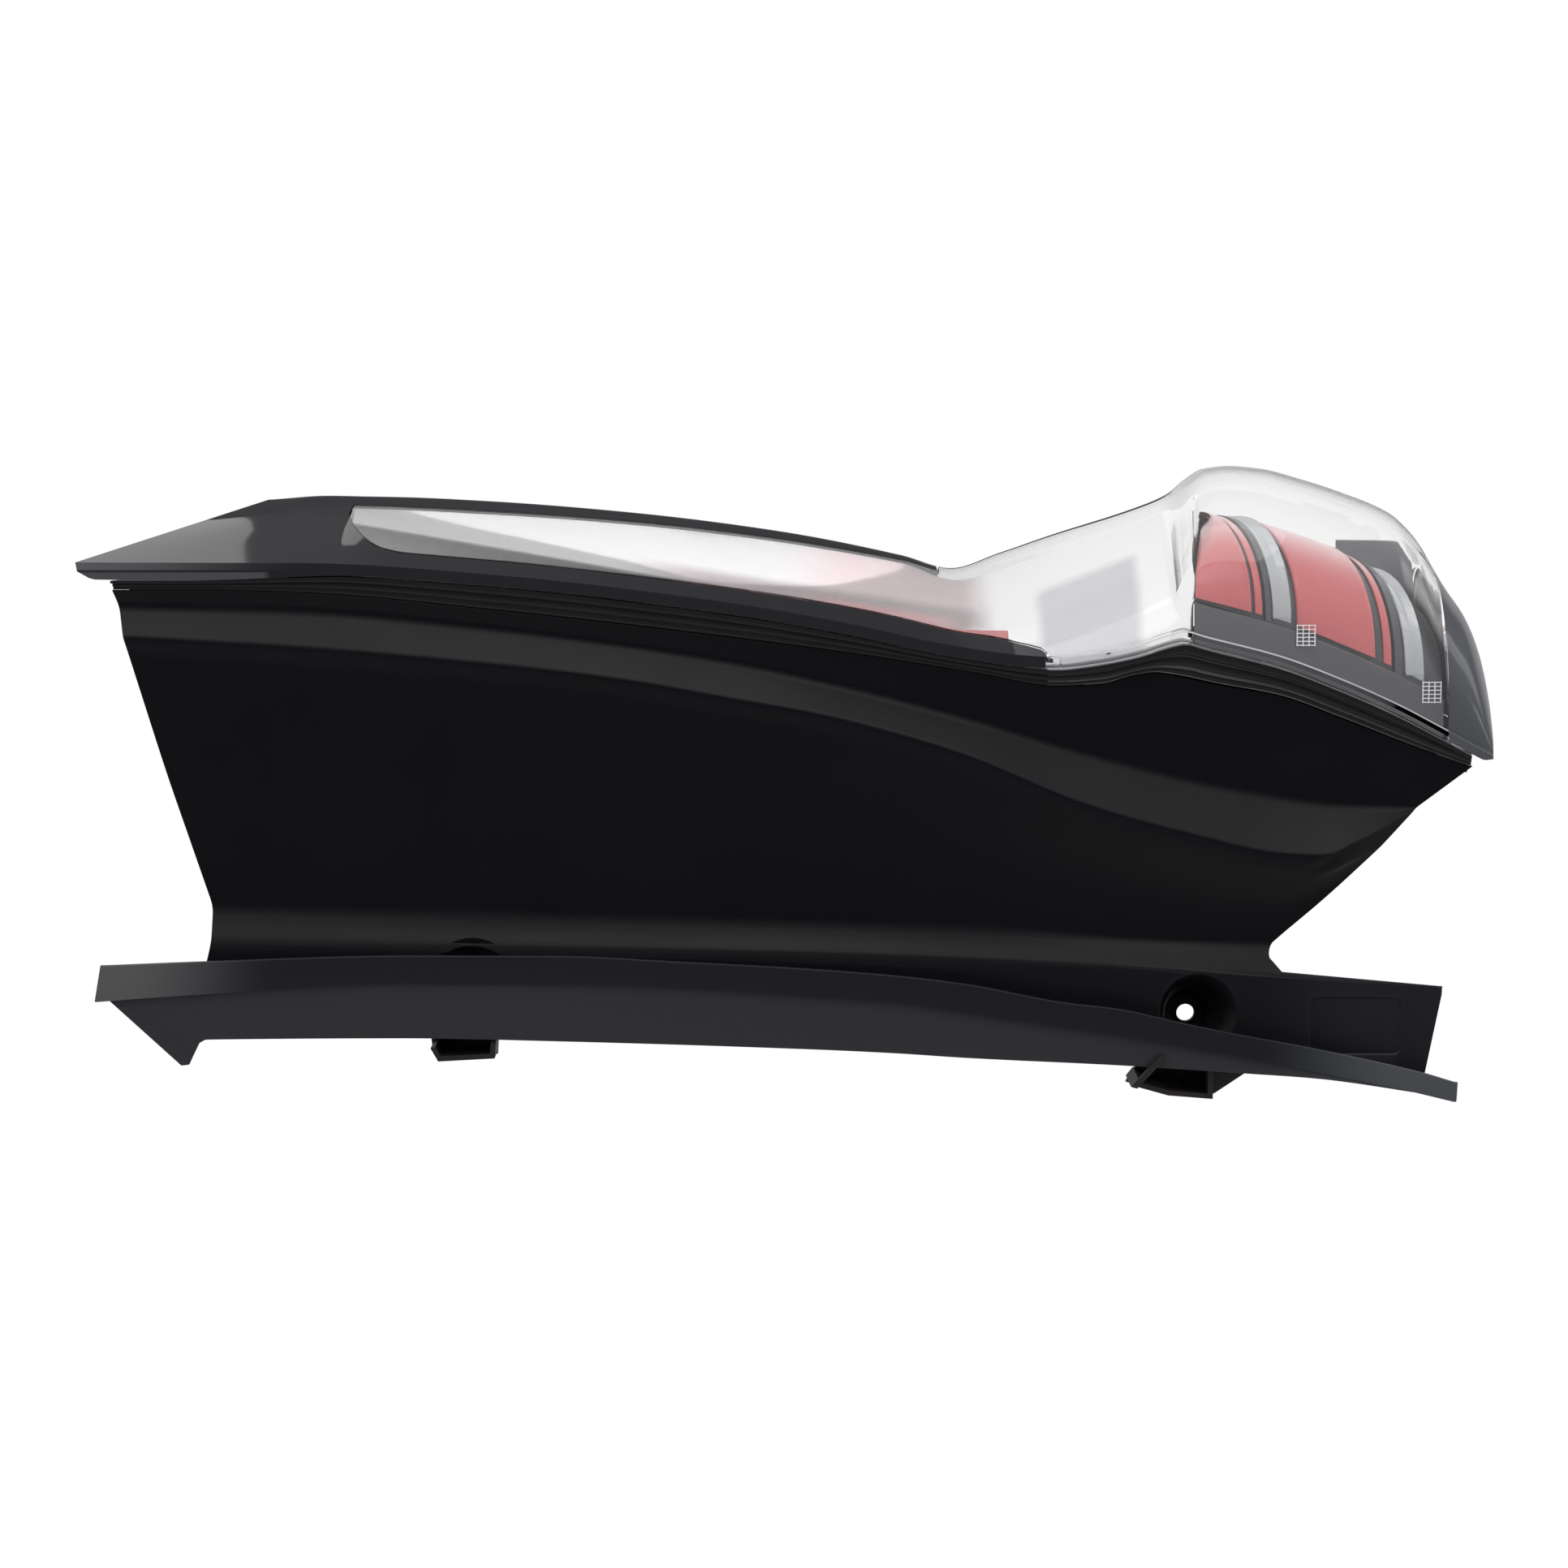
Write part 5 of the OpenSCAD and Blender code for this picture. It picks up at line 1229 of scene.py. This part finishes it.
class LAMP_OT_garnish(bpy.types.Operator):
    """Builds the gloss frame and the end cap"""
    bl_idname = "lamp.garnish"
    bl_label = "Gloss frame and end cap"

    def execute(self, context):
        build_garnish()
        build_cap()
        return {"FINISHED"}


class LAMP_OT_housing(bpy.types.Operator):
    """Builds the housing with its ribbed flange"""
    bl_idname = "lamp.housing"
    bl_label = "Housing"

    def execute(self, context):
        build_housing()
        return {"FINISHED"}


class LAMP_OT_panel(bpy.types.Operator):
    """Builds the grained trim panel"""
    bl_idname = "lamp.panel"
    bl_label = "Trim panel"

    def execute(self, context):
        build_panel()
        return {"FINISHED"}


class LAMP_OT_inside(bpy.types.Operator):
    """Builds the reflector, the bezel and the lights in the bulge"""
    bl_idname = "lamp.inside"
    bl_label = "Inside of the lens"

    def execute(self, context):
        build_chrome()
        build_bezel()
        build_red("red_inner_lens_1", (RED_1, RED_WALL), (BAND_1, BAND_WALL))
        build_red("red_inner_lens_2", (RED_2, RED_WALL), (BAND_2, BAND_WALL))
        build_strip()
        build_pad("optic_pad_1", PAD_PLACES[0])
        build_pad("optic_pad_2", PAD_PLACES[1])
        ribs = context.scene.lamp_lights.ribs
        build_bar("light_bar_1", BAR_1, ribs)
        build_bar("light_bar_2", BAR_2, ribs)
        return {"FINISHED"}


class LAMP_OT_finish(bpy.types.Operator):
    """Gives each CAD piece that still shows the finish of its slot"""
    bl_idname = "lamp.finish"
    bl_label = "Finish of the remaining pieces"

    def execute(self, context):
        slots = {s["node"]: s["material_slot"] for s in frame["record"]["subparts"]}
        for name, obj in frame["nodes"].items():
            obj.data.materials.clear()
            obj.data.materials.append(material(slots[name]))
        return {"FINISHED"}


class LAMP_OT_stage(bpy.types.Operator):
    """Sets the camera, the lights and the backdrop"""
    bl_idname = "lamp.stage"
    bl_label = "Stage"

    def execute(self, context):
        scene = context.scene
        p, e = scene.lamp_stage, scene.lamp_stage.elevation
        camera = bpy.data.cameras.new("camera")
        camera.lens = CAMERA_LENS
        camera.sensor_width = camera.sensor_height = SENSOR
        camera.clip_end = 20
        eye = bpy.data.objects.new("camera", camera)
        eye.location = Vector(TARGET) + p.distance * Vector((0, -math.cos(e), math.sin(e)))
        eye.rotation_euler = (math.pi / 2 - e, 0, 0)
        scene.collection.objects.link(eye)
        scene.camera = eye
        scene.world = room_world()
        for name, place, size, power in (
                ("soft_box", (-0.3, -0.5, 1.5), (1.6, 0.9), p.key),
                ("left_strip", (-1.5, -0.9, 0.35), (0.3, 0.9), p.key * p.sides),
                ("right_strip", (1.3, -0.8, 0.3), (0.3, 0.9), p.key * p.sides),
                ("cap_card", (1.1, 0.15, 0.85), (0.5, 0.7), p.key * p.cap_card),
                ("tip_card", (-0.86, 1.3, 0.72), (0.56, 0.8), p.key * p.tip_card)):
            lamp = bpy.data.lights.new(name, "AREA")
            lamp.shape = "RECTANGLE"
            lamp.size, lamp.size_y = size
            lamp.energy = power
            obj = bpy.data.objects.new(name, lamp)
            obj.location = place
            turn = (Vector(LIGHT_TARGET) - Vector(place)).to_track_quat("-Z", "Y")
            obj.rotation_euler = turn.to_euler()
            scene.collection.objects.link(obj)
            if name == "tip_card":
                obj.visible_diffuse = obj.visible_transmission = obj.visible_camera = False
        scene.view_settings.view_transform = "Standard"
        return {"FINISHED"}


class LAMP_PT_panel(bpy.types.Panel):
    bl_label = "Rear lamp"
    bl_idname = "LAMP_PT_panel"
    bl_space_type = "VIEW_3D"
    bl_region_type = "UI"
    bl_category = "Lamp"

    def draw(self, context):
        for group in (context.scene.lamp_finish, context.scene.lamp_lights, context.scene.lamp_stage):
            for key in group.__annotations__:
                self.layout.prop(group, key)
        for op in OPERATORS:
            self.layout.operator(op.bl_idname)


OPERATORS = (LAMP_OT_finish, LAMP_OT_lens, LAMP_OT_garnish, LAMP_OT_housing, LAMP_OT_panel,
             LAMP_OT_inside, LAMP_OT_stage)
CLASSES = (LAMP_PG_finish, LAMP_PG_lights, LAMP_PG_stage, *OPERATORS, LAMP_PT_panel)


def register():
    for c in CLASSES:
        bpy.utils.register_class(c)
    bpy.types.Scene.lamp_finish = bpy.props.PointerProperty(type=LAMP_PG_finish)
    bpy.types.Scene.lamp_lights = bpy.props.PointerProperty(type=LAMP_PG_lights)
    bpy.types.Scene.lamp_stage = bpy.props.PointerProperty(type=LAMP_PG_stage)


def unregister():
    del bpy.types.Scene.lamp_finish, bpy.types.Scene.lamp_lights, bpy.types.Scene.lamp_stage
    for c in reversed(CLASSES):
        bpy.utils.unregister_class(c)


def main():
    register()
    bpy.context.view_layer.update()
    for op in OPERATORS:
        done = getattr(bpy.ops.lamp, op.bl_idname.split(".")[1])()
        if done != {"FINISHED"}:
            raise RuntimeError(op.bl_label + " did not finish")


if __name__ == "__main__":
    main()
